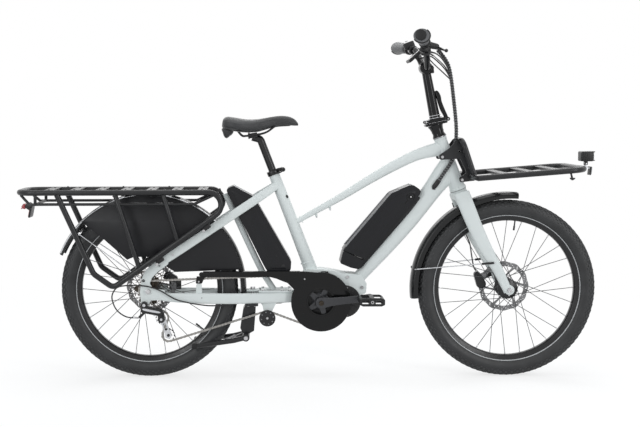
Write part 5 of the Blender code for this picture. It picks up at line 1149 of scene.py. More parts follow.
def rear_frame(name, side):
    """One side of the rear triangle: seat stay, chain stay and dropout."""
    chain_stay = lofted([(34, side * 69, 296, 22, 12), (70, side * 66, 292, 30, 15),
        (180, side * 65, 288, 37, 19), (330, side * 58, 285.5, 37, 18),
        (560, side * 22, 286, 36, 18)], 3.4, 44)
    seat_stay = lofted([(42, side * 70, 412, 24, 11), (110, side * 66, 457, 30, 14),
        (366, side * 57, 626, 30, 14), (398, side * 48, 647, 30, 14),
        (452, side * 13, 682, 28, 16)], 2.8, 44)
    bottom = [(-24, 258), (-4, 256), (8, 282)] if side < 0 else [(-11, 284)]
    outline = [(-21, 361), (-25, 340), (-29, 312)] + bottom + [(59, 284), (59, 319), (16, 324), (6, 342),
        (14, 362), (36, 384), (74, 412), (60, 434), (25, 416), (-7, 390)]
    dropout = plate(eased(outline, 8, 5), side * DROPOUT_IN, side * DROPOUT_OUT,
        [circle((0, TYRE_R), 6.2, 32), circle((40, 404), 3, 16), circle((-14, 352), 2.6, 16)], 1.2)
    pieces = [chain_stay, seat_stay, dropout]
    if side < 0:
        lug = plate(eased([(166, 298), (188, 298), (187, 336), (177, 343), (168, 336)], 5),
            -61.7, -57, (), 0.8)
        drop = plate(eased([(392, 270), (452, 270), (444, 258), (427, 222), (417, 206), (405, 210),
            (406, 232), (400, 258)], 7, 4), -43, -38, (), 0.8)
        pieces += [lug, drop]
    show(joined(*pieces), name, "frame", "frame_paint", name)
    screws = [bolt_head((188, 290.8), side * 74.2, 2.4, side), bolt_head((88, 442), side * 73.4, 4, side)]
    show(joined(*screws), name + "_screws", "frame", "axle_steel")


def battery_tube():
    """The bent tube behind the rear battery and the plate between the chain stays."""
    path = smooth([(271, 0, 652), (316, 0, 552), (362, 0, 452), (401, 0, 372), (440, 0, 310)], 40)
    foot = block((446, 0, 307.6), (118, 96, 6), edge=2)
    tail = block((370, 0, 307.6), (52, 44, 6), edge=2)
    show(joined(foot, tail, tube(path, 11)), "battery_tube", "frame", "frame_paint", "battery_tube")
    screws = [rod((x, y, 310), (x, y, 314.6), 4.6, edge=1.4) for x in (402, 430, 470, 496)
        for y in (-40, 40)]
    show(joined(*screws), "battery_tube_screws", "frame", "axle_steel")


def motor():
    """The motor's ribbed housing and its left cover."""
    front = (690, 272)
    outline = tongue(BB, 68, front, 57, 40)
    body = plate(outline, -42, 52, (), 5, 4)
    seam = plate(grown(outline, 0.8), 2, 5, (), 0.6)
    cover = turned([(0, 64), (48, 64), (54, 62.5), (58.5, 58), (60, 48), (0, 48)], BB, 96, closed=False)
    fins = [plate(tongue(polar(front, 20, a), 2.6, polar(front, 46, a), 2.6, 5), -44, -41, (), 0.6)
        for a in range(-70, 80, 20)]
    show(joined(body, seam, cover, *fins), "motor", "frame", "black_plastic", "motor")
    screws = [bolt_head(polar(BB, 60, a), -41.6, 3.6, -1) for a in (100, 180, 250)]
    screws += [bolt_head(polar(front, 49, a), -41.6, 3.6, -1) for a in (-80, 0, 80)]
    show(joined(*screws), "motor_screws", "frame", "axle_steel")


# Batteries

MAIN_BATTERY = [(687, 455), (852, 653), (928, 684), (962, 660), (757, 422)]
REAR_BATTERY = [(272, 670), (300, 682), (371, 643), (502, 414), (500, 384), (484, 372),
    (420, 375), (404, 402)]
SHELL_EDGE = 9


def battery_shell(outline, half, ease):
    """A shell of two halves with a seam between them and a raised panel on each side."""
    shape = eased(outline, ease, 8)
    halves = [plate(shape, -half, -0.5, (), SHELL_EDGE, 5), plate(shape, 0.5, half, (), SHELL_EDGE, 5)]
    core = plate(eased(grown(outline, -1.2), ease, 8), -half + 8, half - 8)
    panel = eased(grown(outline, -15), ease * 0.6, 6)
    panels = [plate(panel, s * (half - 1), s * (half + 0.9), (), 0.8) for s in (-1, 1)]
    return joined(*halves, core, *panels)


def battery_dock():
    """The socket under the main battery and the rail that it slides along."""
    socket = plate(eased([(674, 407), (685, 452), (760, 415), (742, 388), (737, 386), (712, 391)], 7, 5),
        -40, 40, (), 4, 3)
    rail = plate([(748, 385), (742, 405), (757, 424), (940, 636), (950, 641), (962, 633)], -21, 21, (), 1)
    battery = plate(grown(MAIN_BATTERY, 0.3), -60, 60, (), 0)
    show(cut(joined(socket, rail), battery), "battery_dock", "frame", "battery_case", "battery_dock")


def main_battery():
    """The battery on the down tube, with its foot, trim, lock, carrying lip and key."""
    foot = plate([(683.5, 452), (696, 470), (772, 442), (759, 421)], -41, 41, (), 3, 3)
    show(joined(battery_shell(MAIN_BATTERY, 43, 16), foot), "main_battery", "main_battery",
        "battery_case", "main_battery", sharp=28)
    edge_line = [(694, 465.5), (852, 651.5), (924, 681)]
    strips = [tube(rounded(on_side(edge_line, s * 38), [26], 12), 3, None, 14) for s in (-1, 1)]
    show(joined(*strips), "main_battery_trim", "main_battery", "bare_metal", look=EDGE_GREY)
    lock = (921, 641)
    barrel = across(lock, -42, -45.2, 8.2, edge=1.2)
    handle = plate(eased([(880, 667), (918, 682), (922, 676), (884, 660)], 3), -41, 41, (), 1.2)
    recess = tube(on_side([polar(lock, 14, a) for a in range(-50, 231, 10)] + [(901, 618)], -44),
        1.3, None, 10)
    show(joined(barrel, handle, recess), "main_battery_lock", "main_battery", "black_plastic",
        look=GUARD_GLOSS)
    show(across(lock, -45, -45.8, 2.6, edge=0.3), "main_battery_key", "main_battery", "axle_steel")


def rear_battery():
    """The battery behind the seat tube, with its trim and its lock buttons."""
    show(battery_shell(REAR_BATTERY, 41, 13), "rear_battery", "frame", "battery_case",
        "rear_battery", sharp=28)
    edge_line = [(300, 679), (368, 640.5), (497.6, 413.4), (496, 390)]
    strips = [tube(on_side(edge_line, s * 36), 3.6, None, 14) for s in (-1, 1)]
    show(joined(*strips), "rear_battery_trim", "frame", "bare_metal", look=CHROME_EDGE)
    buttons = [across((474, 398), -40.6, -43, 6, edge=1), across((450, 433), -41.6, -42.9, 2.4, edge=0.5)]
    show(joined(*buttons), "rear_battery_lock", "frame", "black_plastic")


# Saddle, seatpost and their clamp

RAILS = [(314, 874), (329, 857), (345, 855), (408, 865), (446, 889)]


def seatpost():
    """The post with its head, its clamp bolts and the two rails."""
    low = along(SEAT_TOP, SEAT_LOW, 0.42)
    path = rounded([low, (394.5, 0, 843), (366, 0, 851)], [14], 10)
    clamp = block((367, 0, 860), (34, 56, 10), tilt=9, edge=3)
    base = block((368, 0, 852.6), (32, 52, 9), tilt=9, edge=3)
    rails = [tube(smooth([(x, s * 22, z) for x, z in RAILS], 24), 3.5) for s in (-1, 1)]
    show(joined(tube(path, POST_R), clamp, base), "seatpost", "seat", "black_metal", "seatpost")
    show(joined(*rails), "saddle_rails", "seat", "black_metal")
    bolts = [rod((x, 0, 844), (x, 0, 866.6), 3) for x in (354, 380)]
    show(joined(*bolts), "seat_clamp_bolts", "seat", "axle_steel")


def saddle_point(angle, x, z, depth, width):
    """A point of the saddle's section: flattened, with a channel and raised seat bones on top."""
    c, s = math.cos(angle), math.sin(angle)
    wide = signed_power(c, 0.72) * width / 2
    tall = signed_power(s, 0.95 if s > 0 else 0.6) * depth / 2
    droop = -2 * abs(c) ** 3 * min(1, width / 120) if s < 0 else 0
    channel = 0
    if s > 0 and x < 470:
        channel = -3.2 * math.exp(-(wide / 9) ** 2) * math.sin(math.pi * min(1, max(0, (x - 285) / 185)))
    swell = 0
    if s > 0 and x < 345:
        swell = 2.6 * math.exp(-((abs(wide) - 38) / 22) ** 2) * math.sin(math.pi * min(1,
            max(0, (x - 262) / 84)))
    return at(x, wide, z + tall + droop + channel + swell)


def saddle():
    """The padded cover with its sewn edge, over a plastic base with a bumper behind."""
    rows = [(260.5, 893, 12, 70), (265, 898, 33, 120), (278, 899.5, 45, 154), (306, 895.5, 45, 171),
        (342, 891.5, 45, 156), (379, 892, 44, 116), (404, 896.5, 42, 84), (432, 903, 39, 60),
        (460, 907, 37, 50), (491, 907.5, 32, 42), (512, 903, 25, 34), (523.5, 897.5, 14, 22),
        (527.5, 894, 6, 12)]
    fine = spline_rows(rows, 7)
    sides = 56
    cover = capped([[saddle_point(2 * math.pi * (k + 0.5) / sides, *row) for k in range(sides)]
        for row in fine])
    show(cover, "saddle_cover", "seat", "saddle_cover", "saddle", sharp=60)
    piping, stitches = [], []
    for side in (-1, 1):
        line = [(x, side * (width / 2 * 0.985), z - 0.14 * depth) for x, z, depth, width in fine[2:-2]]
        piping.append(tube(line, 1.1, None, 8))
    show(joined(*piping), "saddle_piping", "seat", "saddle_cover")
    for side in (-1, 1):
        seam = [(x, side * width / 2 * 0.93, z + 0.24 * depth) for x, z, depth, width in fine[3:-4]]
        stitches += [tube([between(a, b, 0.15), between(a, b, 0.8)], 0.45, None, 6) for a,
            b in zip(seam, seam[1:])]
    show(joined(*stitches), "saddle_stitching", "seat", "saddle_cover", look=GRIP_GREY)
    base = lofted([(280, 0, 880, 8, 110), (312, 0, 874, 8, 138), (346, 0, 871, 8, 124),
        (380, 0, 872.5, 8, 88), (404, 0, 878, 8, 62), (432, 0, 886, 8, 42), (462, 0, 891, 8, 34),
        (505, 0, 893, 8, 22)], 2.6, 40, 5, 2)
    bumper = lofted([(280, 0, 884, 44, 70), (279, 0, 870, 40, 72), (276, 0, 858, 25, 64),
        (274.5, 0, 847, 8, 46)], 3.2, 30, 6, 2)
    show(base, "saddle_base", "seat", "black_plastic")
    show(bumper, "saddle_bumper", "seat", "grip_rubber", look=FINISHES["saddle_cover"])


def seat_collar_lever():
    """The clamp's cam, its bent wire loop and its bolt with a round nut."""
    bolt_spot = (474, 737)
    cam = across(bolt_spot, -10.6, -20, 8, edge=1.4)
    turn = math.radians(18)
    loop = [(458 + 15 * math.cos(a) * math.cos(turn) - 7.4 * math.sin(a) * math.sin(turn), -23, 733
        + 15 * math.cos(a) * math.sin(turn) + 7.4 * math.sin(a) * math.cos(turn))
        for a in (2 * math.pi * i / 40 for i in range(41))]
    neck = lofted([(474, -17, 738, 12, 7), (470, -21, 737, 11, 6), (464, -23, 735, 4, 4)], 2.6, 24, 6, 2)
    show(joined(cam, tube(loop, 2.5, None, 12), neck), "seat_collar_lever", "seat_clamp_lever",
        "black_metal", "seat_collar_lever")
    show(joined(across(bolt_spot, 15, -18, 2.8), across(bolt_spot, 10.6, 17, 7, edge=1.2)),
        "seat_collar_bolt", "seat_clamp_lever", "axle_steel")


# Fork, stem and handlebar

POST_PIN = (975.5, 900.7)
FLANGE_TILT = 12
BAR = (974, 1091)


def fork_leg(side):
    leg = [(1097, 51.5, 652, 56, 22), (1153, 54, 519, 50, 22), (1199, 55, 430, 42, 21),
        (1227, 56, 383, 36, 20), (1263, 56, 308, 30, 19)]
    return lofted([(x, side * y, z, d, w) for x, y, z, d, w in leg], 2.6, 44)


def fork():
    """The painted crown and legs; the black headset cover, neck and hinge plate."""
    crown = block(steer(-118), (54, 126, 28), tilt=HEAD_LEAN_DEG, edge=9, segments=5)
    race = rod(steer(-111), steer(-HEAD_HALF - 1.4), 28, 27.4, edge=0.6)
    pieces = [crown, race]
    for side in (-1, 1):
        pieces.append(fork_leg(side))
        pieces.append(across((WHEELBASE, TYRE_R), side * 45.8, side * 66, 17, edge=1.6))
        pieces.append(across((1086, 640), side * 54, side * 62.6, 5, edge=1))
    show(joined(*pieces), "fork", "steering", "frame_paint", "fork")
    cap = revolve([(14.5, 98.6), (24.6, 98.6), (24.6, 101), (22.6, 106), (20.4, 111), (20.4, 116),
        (22, 121), (21.2, 124), (24, 136), (27.4, 142), (27.4, 146), (14.5, 146)], steer(0),
        STEER_AXIS, 72)
    flange = block((1012, 0, 896.6), (78, 50, 9.4), tilt=FLANGE_TILT, edge=3.4, segments=4)
    show(joined(cap, flange), "steering_cap", "steering", "black_metal", look=POST_GLOSS)
    ring = revolve([(21.6, 99.6), (25, 99.6), (25, 100.8), (21.6, 100.8)], steer(0), STEER_AXIS, 72)
    lip = block((1012, 0, 901), (74, 46, 1.6), tilt=FLANGE_TILT, edge=0.6)
    show(joined(ring, lip), "steering_trim", "steering", "bare_metal", look=CHROME_EDGE)
    screws = [bolt_head((WHEELBASE - 2, 296), s * 65.6, 3, s) for s in (-1, 1)]
    screws += [bolt_head((1210, 411), s * 66, 4, s) for s in (-1, 1)]
    show(joined(*screws), "fork_screws", "steering", "axle_steel")


def stem_post():
    """The folding post: its hinged foot, its tapered tube and the clamp round the bar."""
    foot = block((1010.2, 0, 908), (72, 48, 11), tilt=FLANGE_TILT, edge=3.4, segments=4)
    post = lofted([(1010, 0, 911, 40, 40), (1006, 0, 930, 37, 38), (992, 0, 1000, 34, 34),
        (977, 0, 1076, 31, 31)], 2.3, 56, 8)
    clamp = across(BAR, -26, 26, 21.5, edge=2)
    cover = block((BAR[0] + 16, 0, BAR[1] - 6), (22, 45, 27), edge=4, tilt=8)
    ears = [across(POST_PIN, s * 17, s * 23, 5.6) for s in (-1, 1)]
    show(joined(foot, post, clamp, cover, *ears), "stem_post", "handlepost", "black_metal", "stem_post",
        look=POST_GLOSS)
    screws = [rod((BAR[0] + 26, s * 15, BAR[1] - 8 + t), (BAR[0] + 28.4, s * 15, BAR[1] - 8.4 + t), 3.2,
        edge=0.8) for s in (-1, 1) for t in (-8, 8)]
    show(joined(*screws, across(POST_PIN, -24.6, 24.6, 3.2)), "stem_screws", "handlepost", "axle_steel")
    lean = math.tan(math.radians(FLANGE_TILT))
    turns = [2 * math.pi * i / 60 for i in range(61)]
    rings = [tube([(x + radius * math.cos(a), radius * math.sin(a), z + radius * math.cos(a) * lean)
        for a in turns], 1.3, None, 10) for radius, x, z in ((22.4, 1009.6, 916.5), (20.4, 1007.6, 925))]
    show(joined(*rings), "stem_rings", "handlepost", "bare_metal", look=CHROME_EDGE)


def stem_lever():
    """The safety lever on the post's front."""
    pivot = (1054.5, 913)
    blade = lofted([(1052, 0, 911, 13, 20), (1044.5, 0, 927, 14, 22), (1034, 0, 948, 16, 22),
        (1025, 0, 972, 15, 21), (1020.5, 0, 990, 17, 20), (1014.5, 0, 1004, 15, 17),
        (1009, 0, 1011, 8, 12)], 3, 32, 6, 2)
    show(joined(across(pivot, -11, 11, 7, edge=1.2), blade), "stem_lever", "stem_lever", "black_plastic",
        "stem_lever", look=POST_GLOSS)
    show(across(pivot, -12.4, 12.4, 3), "stem_lever_pin", "stem_lever", "axle_steel")


BAR_END = (911, 326, 1183)
BAR_TURN = (958, 135, 1160)
GRIP_IN = 0.30


def bar_point(share, side):
    """A point on the bar's straight end, from its bend at 0 to its tip at 1."""
    return tuple(a + (b - a) * share for a, b in zip((BAR_TURN[0], side * BAR_TURN[1], BAR_TURN[2]),
        (BAR_END[0], side * BAR_END[1], BAR_END[2])))


def handlebar():
    """The bar with its sleeve, both brake perches, the shifter's pod and the control pad."""
    corners = [bar_point(1, -1), bar_point(0, -1), (BAR[0], -46, BAR[1]), (BAR[0], 46, BAR[1]),
        bar_point(0, 1), bar_point(1, 1)]
    bar = tube(rounded(corners, [45, 30, 30, 45], 12), 11.1)
    sleeve = across(BAR, -27.5, 27.5, 15.9, edge=2.4)
    show(joined(bar, sleeve), "handlebar", "handlepost", "black_metal", "handlebar", look=POST_GLOSS)
    perches, screws = [], []
    for side in (-1, 1):
        for low, high, radius in ((0.10, 0.175, 16.6), (0.195, 0.27, 15.4)):
            perches.append(rod(bar_point(low, side), bar_point(high, side), radius, edge=2.2))
        perches.append(lofted([(*bar_point(0.15, side), 24, 30), (972, side * 158, 1159, 22, 34),
            (986, side * 160, 1156, 20, 24), (996, side * 160, 1153, 15, 18)], 3, 28, 6, 2))
        perches.append(rod((985, side * 146, 1155.5), (1006, side * 128, 1150), 4.4, 3.4))
        screws.append(rod((989, side * 158, 1144.6), (989, side * 158, 1163.4), 3))
        x, y, z = bar_point(0.14, side)
        screws.append(rod((x - 15, y, z - 4), (x - 18.6, y, z - 5), 3))
    pod = lofted([(962, -170, 1143, 20, 24), (950, -179, 1142, 24, 30), (936, -181, 1146, 22, 28),
        (929, -180, 1150, 14, 20)], 3.2, 32, 6, 3)
    pad = block((938, 176, 1181), (40, 26, 24), tilt=20, edge=5, segments=4)
    show(joined(*perches, pod, pad), "bar_controls", "handlepost", "black_plastic")
    show(joined(*screws), "bar_control_screws", "handlepost", "axle_steel")


def grip(name, side):
    """The ribbed grip, its pale palm pad, and the plug and clamp ring at its ends."""
    core = [(*bar_point(share, side), wide) for share,
        wide in ((GRIP_IN, 15.4), (0.34, 16.6), (0.5, 16.2), (0.7, 16.4), (0.86, 17.6), (0.985, 19))]
    core = spline_rows(core, 8)
    radii = [w + (0.7 * abs(math.sin(i * 1.9)) if 4 < i < 34 else 0) for i, (*_, w) in enumerate(core)]
    show(tube([p[:3] for p in core], 17, radii, 40), name, "handlepost", "grip_rubber", name)
    rows = [(0.40, 2, 1, 31, 33), (0.55, 1, 1, 34, 40), (0.72, 0, 1.5, 38, 46), (0.88, -2, 2, 43, 52),
        (0.97, -4, 2.5, 46, 55), (1, -4.5, 2.5, 45, 54)]
    fine = spline_rows(rows, 6)
    turns = [2 * math.pi * k / 44 for k in range(44)]
    rings = []
    for i, (share, forward, drop, tall, long) in enumerate(fine):
        x, y, z = bar_point(share, side)
        near_end = min(i, len(fine) - 1 - i)
        shrink = math.sin(math.pi / 2 * min(1, (near_end + 0.8) / 3))
        rings.append([at(x - forward + math.cos(a) * long / 2 * shrink, y, z - drop
            + math.sin(a) * tall / 2 * shrink) for a in turns])
    show(capped(rings), name + "_pad", "handlepost", "grip_rubber", look=GRIP_GREY, sharp=50)
    x, y, z = bar_point(1, side)
    plug = rod((x + 3, y - side * 14, z), (x, y + side * 3.4, z), 18.6, 17.6, 2.4)
    ring = tube([(x + 4.5 + 27.4 * math.cos(math.radians(a)), y - side * 3, z - 2.5
        + 23 * math.sin(math.radians(a))) for a in range(-150, 60, 7)], 2.6, None, 12)
    ring_in = rod(bar_point(GRIP_IN - 0.005, side), bar_point(GRIP_IN + 0.055, side), 20, edge=1.6)
    show(joined(plug, ring, ring_in), name + "_plug", "handlepost", "black_plastic")


LEVER_PIVOT = (989, 158, 1154)


def brake_lever(name, side):
    """A brake lever that curves outwards in front of its grip."""
    px, py, pz = LEVER_PIVOT
    boss = rod((px, side * py, pz - 8), (px, side * py, pz + 8), 6.5, edge=1)
    path = smooth([(px, side * py, pz), (px + 11, side * (py + 22), pz - 7),
        (px + 17, side * (py + 60), pz - 13), (px + 16, side * (py + 100), pz - 17),
        (px + 13, side * (py + 122), pz - 19)], 24)
    radii = [5.6 - 1.2 * math.sin(math.pi * i / (len(path) - 1)) for i in range(len(path))]
    tip = (px + 13, side * (py + 122), pz - 19)
    ball = revolve([(6.2 * math.sin(math.radians(a)), -6.2 * math.cos(math.radians(a)))
        for a in range(0, 181, 15)], tip, (0, 1, 0), 24, closed=False)
    show(joined(boss, tube(path, 5, radii, 20), ball), name, name, "black_metal", name)


def shift_lever():
    """The thumb lever under the right grip, on its stalk."""
    lever = lofted([(962, -200, 1131, 7, 10), (948, -200, 1127, 8, 13), (936, -200, 1126.6, 7, 15),
        (930, -200, 1128, 5, 13)], 3, 24, 6, 2)
    show(joined(lever, across((956, 1130), -180, -200, 5)), "shift_lever", "shift_lever", "black_plastic",
        "shift_lever")


def assist_button():
    """The assistance key on the left control pad, square to the pad's face."""
    centre, normal = (929, 176, 1192.8), (-0.342, 0, 0.940)
    top = tuple(c + n * 4 for c, n in zip(centre, normal))
    foot = tuple(c + n * 1.4 for c, n in zip(centre, normal))
    show(rod(foot, top, 6, 5.4, 1.2), "assist_button", "assist_button", "grey_plastic", "assist_button")


def display():
    """The display in its rimmed case, on its arm above the bar clamp."""
    tilt = 42
    case = block((937, 0, 1133.4), (66, 84, 11.4), tilt=tilt, edge=4, segments=4)
    arm = lofted([(944, 0, 1130, 18, 20), (950, 0, 1120, 14, 18), (957, 0, 1108, 16, 26)], 2.6, 28, 6)
    loop = turned([(16.4, -9), (20.6, -9), (20.6, 9), (16.4, 9)], BAR, 48)
    show(joined(case, arm, loop), "display", "handlepost", "black_plastic", "display")
    glass = block((933, 0, 1137.8), (56, 74, 1.6), tilt=tilt, edge=0.7)
    show(glass, "display_glass", "handlepost", "black_plastic", look=SCREEN)


# Racks and lights

SLAT_FIRST_X, SLAT_LAST_X, SLATS = -343, 191, 7
DECK_END_X = 211


def rack_deck():
    """The deck's bent tube with its welded slats, knobs and hangers."""
    tail = TAIL_X + RACK_TUBE_R
    corners = [(DECK_END_X, -RACK_HALF, RACK_Z), (tail, -RACK_HALF, RACK_Z), (tail, RACK_HALF, RACK_Z),
        (DECK_END_X, RACK_HALF, RACK_Z)]
    pieces = [tube(rounded(corners, [50, 50], 14), RACK_TUBE_R)]
    knobs = []
    step = (SLAT_LAST_X - SLAT_FIRST_X) / (SLATS - 1)
    for i in range(SLATS):
        x = SLAT_FIRST_X + i * step
        pieces.append(block((x, 0, 667.6), (34, 2 * RACK_HALF - 6, 5.6), edge=1.8))
        for lip in (-1, 1):
            pieces.append(block((x + lip * 15.6, 0, 663.4), (2.4, 2 * RACK_HALF - 12, 8), edge=0.8))
        for side in (-1, 1):
            knobs.append(rod((x, side * 62, 666), (x, side * 62, 672), 4.6, 4, 1.2))
    hanger_x = -384
    for side in (-1, 1):
        pieces.append(rod((hanger_x, side * RACK_HALF, RACK_Z), (hanger_x, side * RACK_HALF, 618), 5.5))
    pieces.append(rod((hanger_x, -RACK_HALF - 5, 622), (hanger_x, RACK_HALF + 5, 622), 5))
    show(joined(*pieces), "rack_deck", "frame", "carrier_paint", "rack_deck")
    show(joined(*knobs), "rack_knobs", "frame", "black_plastic")


def rack_side(name, side):
    """One side: the front bend, the long diagonal, the rear leg, struts, welds and the low rail."""
    y = side * RACK_HALF
    corners = [(DECK_END_X + 0.3, RACK_Z), (350, RACK_Z), (-118, 331), (-186, 380), (-309, 655)]
    pieces = [tube(rounded(on_side(corners, y), [43, 25, 35], 12), RACK_TUBE_R)]
    for top, foot in (((-108, 655), (-26, 396)), ((58, 655), (108, 490))):
        pieces.append(rod((top[0], y, top[1]), (foot[0], y, foot[1]), 8.5, edge=0.2))
        lean = (foot[0] - top[0], 0, foot[1] - top[1])
        for x, z in (between(top, foot, 0.012), between(top, foot, 1 - 9 / math.hypot(lean[0], lean[2]))):
            pieces.append(weld_bead((x, y, z), lean, 9.2, 1.3, 22))
    low_rail = rounded([(-437, side * 80, 653), (-404, side * 97, 621), (-370, y, 622), (165, y, 622),
        (250, y, 661)], [12, 12, 25], 10)
    pieces.append(tube(low_rail, 5))
    for x, z, inner in ((42, 426, 75.6), (205, 541, 70.3)):
        depth = RACK_HALF - 8 - inner - 0.3
        pieces.append(block((x, side * (inner + 0.3 + depth / 2), z), (20, depth, 30), tilt=-55, edge=3))
    for x in (-303, -102, 64):
        pieces.append(rod((x, side * 96, 660), (x, side * 96, 674), 4.4, 3.4, 1.4))
    show(joined(*pieces), name, "frame", "carrier_paint", name)
    screws = [bolt_head(spot, side * (RACK_HALF - 7), 6, side) for spot in ((34, 412), (197, 528))]
    show(joined(*screws), name + "_screws", "frame", "axle_steel")


def rear_light():
    """The lamp with its ribbed red lens, its bracket and the round-cornered reflector."""
    lamp_tilt, reflector_tilt = -35, -12
    body = block((-423, 0, 609), (24, 56, 20), tilt=lamp_tilt, edge=5, segments=4)
    bracket = block((-405, 0, 618), (32, 26, 4.4), tilt=12, edge=1.4)
    holder = block((-417.6, 0, 588), (6, 62, 36), tilt=reflector_tilt, edge=1.8)
    show(joined(body, bracket, holder), "rear_light", "frame", "black_plastic", "rear_light")
    lens = block((-439, 0, 609.6), (16, 50, 17.4), tilt=lamp_tilt, edge=5, segments=4)
    ribs = [block((-446, y, 606), (2, 2, 14), tilt=lamp_tilt, edge=0.8) for y in range(-20, 21, 5)]
    reflector = block((-421.4, 0, 588), (2, 54, 28), tilt=reflector_tilt, edge=0.8)
    show(joined(lens, *ribs, reflector), "rear_light_lens", "frame", "black_plastic", look=RED_LENS)


FRONT_HALF = 170
RACK_REAR = (1131, 712)
RACK_FRONT = (1502, 741)


def front_deck(x, y, up=0):
    share = (x - RACK_REAR[0]) / (RACK_FRONT[0] - RACK_REAR[0])
    return (x, y, RACK_REAR[1] + (RACK_FRONT[1] - RACK_REAR[1]) * share + up)


def front_fittings():
    """The lamp's bracket, the front reflector on its plate, and the turn knobs under the loop."""
    bar = block((1530, 0, 738), (62, 24, 3), edge=0.8)
    tab = block((1543, 0, 749), (11, 5.5, 22), edge=0.8)
    show(joined(bar, tab), "lamp_bracket", "frame", "bare_metal")
    plate_back = block((1557, 0, 729), (2.6, 40, 30), tilt=-6, edge=0.8)
    knobs = []
    for side in (-1, 1):
        x, y, z = front_deck(1444, side * FRONT_HALF)
        knobs.append(rod((x, y, z), (x + 8, y, z - 32), 3.4))
        knobs.append(lofted([(x - 2, y, z - 24, 5, 6), (x + 7, y, z - 28, 8, 8),
            (x + 17, y, z - 25, 5, 6)], 2, 16, 4, 2))
    show(joined(plate_back, *knobs), "front_rack_fittings", "frame", "black_plastic")
    face = block((1559.6, 0, 729), (3, 36, 26), tilt=-6, edge=1)
    show(face, "front_reflector", "frame", "grey_plastic", look=REFLECTIVE)


def front_rack():
    """The frame-mounted rack: its loop and slats, its hoop and its head plates, with their screws."""
    rear, front = RACK_REAR[0], RACK_FRONT[0]
    loop = rounded([front_deck(rear, -FRONT_HALF), front_deck(front, -FRONT_HALF),
        front_deck(front, FRONT_HALF), front_deck(rear, FRONT_HALF)], [55, 55], 14)
    pieces = [tube(loop, RACK_TUBE_R)]
    pieces.append(rod(front_deck(rear, -FRONT_HALF - 3), front_deck(rear, FRONT_HALF + 3), 9, edge=2))
    slope = math.degrees(math.atan2(RACK_FRONT[1] - RACK_REAR[1], front - rear))
    for x in (1234, 1322, 1410):
        pieces.append(block(front_deck(x, 0, 4), (26, 2 * FRONT_HALF - 4, 5.6), tilt=slope, edge=1.8))
        for lip in (-1, 1):
            pieces.append(block(front_deck(x + lip * 11.6, 0, -0.4), (2.2, 2 * FRONT_HALF - 14, 8),
                tilt=slope, edge=0.8))
    half = 81
    hoop = rounded([(1137, -half, 712), (1094, -half, 839), (1094, half, 839),
        (1137, half, 712)], [30, 30], 12)
    pieces.append(tube(hoop, 9))
    outline = [(1022, 770), (1018, 786), (1060, 815), (1080, 842), (1097, 842), (1152, 706), (1144, 697),
        (1092, 691), (1090, 708), (1116, 724), (1092, 774)]
    for side in (-1, 1):
        pieces.append(plate(eased(outline, 8, 5), side * 38, side * 42,
            [circle((1090, 800), 4, 20), circle((1118, 742), 4, 20)], 0.9))
    for spot in ((1101, 800), (1128, 716)):
        pieces.append(across(spot, -half, half, 6.5))
    show(joined(*pieces), "front_rack", "frame", "carrier_paint", "front_rack")
    screws = []
    for side in (-1, 1):
        for spot in ((1030, 780), (1100, 700)):
            screws.append(bolt_head(spot, side * 41.8, 5.4, side))
            screws.append(across(spot, side * 20, side * 38, 4.6))
    show(joined(*screws), "front_rack_screws", "frame", "axle_steel")


def headlight():
    """The lamp on two ears, with cooling ribs, a hood and a clear lens."""
    body = block((1543, 0, 780), (44, 50, 35), edge=5, segments=4)
    hood = block((1564, 0, 796), (10, 46, 3.6), edge=1.4)
    ribs = [block((1530 + 6 * i, 0, 780), (2.4, 52, 33), edge=1) for i in range(4)]
    ears = [block((1543, s * 5.3, 757), (12, 4.4, 16), edge=1.4) for s in (-1, 1)]
    lip = block((1565.5, 0, 766), (8, 44, 3), edge=1)
    show(joined(body, hood, lip, *ribs, *ears), "headlight", "headlight", "black_plastic", "headlight")
    glass = block((1565, 0, 781), (4.6, 40, 25), edge=2)
    bars = [block((1567.2, y, 781), (1.4, 1.6, 22), edge=0.5) for y in range(-15, 16, 5)]
    show(joined(glass, *bars), "headlight_lens", "headlight", "grey_plastic", look=CLEAR_LENS)
    show(rod((1543, -9, 753), (1543, 9, 753), 3.2), "headlight_screw", "headlight", "axle_steel")


# Fenders, guards, brakes and stand

def fender_arc(x, radius, half_width, start, end, steps, deep, deep_start):
    """A crowned strip bent round the wheel, with skirts that are shallower at its start."""
    thick = 1.8
    rings = []
    bm = bmesh.new()
    for i in range(steps + 1):
        angle = start + (end - start) * i / steps
        share = min(1, i / (0.22 * steps))
        skirt = deep_start + (deep - deep_start) * share ** 0.8
        outer = spline_rows([(radius - skirt, half_width), (radius - 0.5 * skirt, half_width * 0.99),
            (radius - 0.16 * skirt - 2, half_width * 0.86), (radius - 1.4, half_width * 0.6),
            (radius + 0.6, half_width * 0.3), (radius + 0.9, 0)], 3)
        outer = outer + [(r, -w) for r, w in outer[-2::-1]]
        inner = [(r - thick, math.copysign(max(0, abs(w) - thick), w)) for r, w in outer]
        inner[0], inner[-1] = ((outer[0][0], inner[0][1]), (outer[-1][0], inner[-1][1]))
        section = [(polar((x, TYRE_R), r, angle), w) for r, w in outer + inner[::-1]]
        rings.append([bm.verts.new(at(p[0], w, p[1])) for p, w in section])
    skin(bm, rings)
    count = len(rings[0])
    for ring in (rings[0], rings[-1]):
        for k in range(count // 2 - 1):
            bm.faces.new((ring[k], ring[k + 1], ring[count - 2 - k], ring[count - 1 - k]))
    bmesh.ops.recalc_face_normals(bm, faces=bm.faces[:])
    return mesh_piece(bm)


def edge_trim(radius, half_width, start, end, thick):
    """Bright beading along both edges of the rear fender."""
    line = arc((0, TYRE_R), radius, start, end, 90)
    return [tube(on_side(line, side * half_width), thick, None, 10) for side in (-1, 1)]


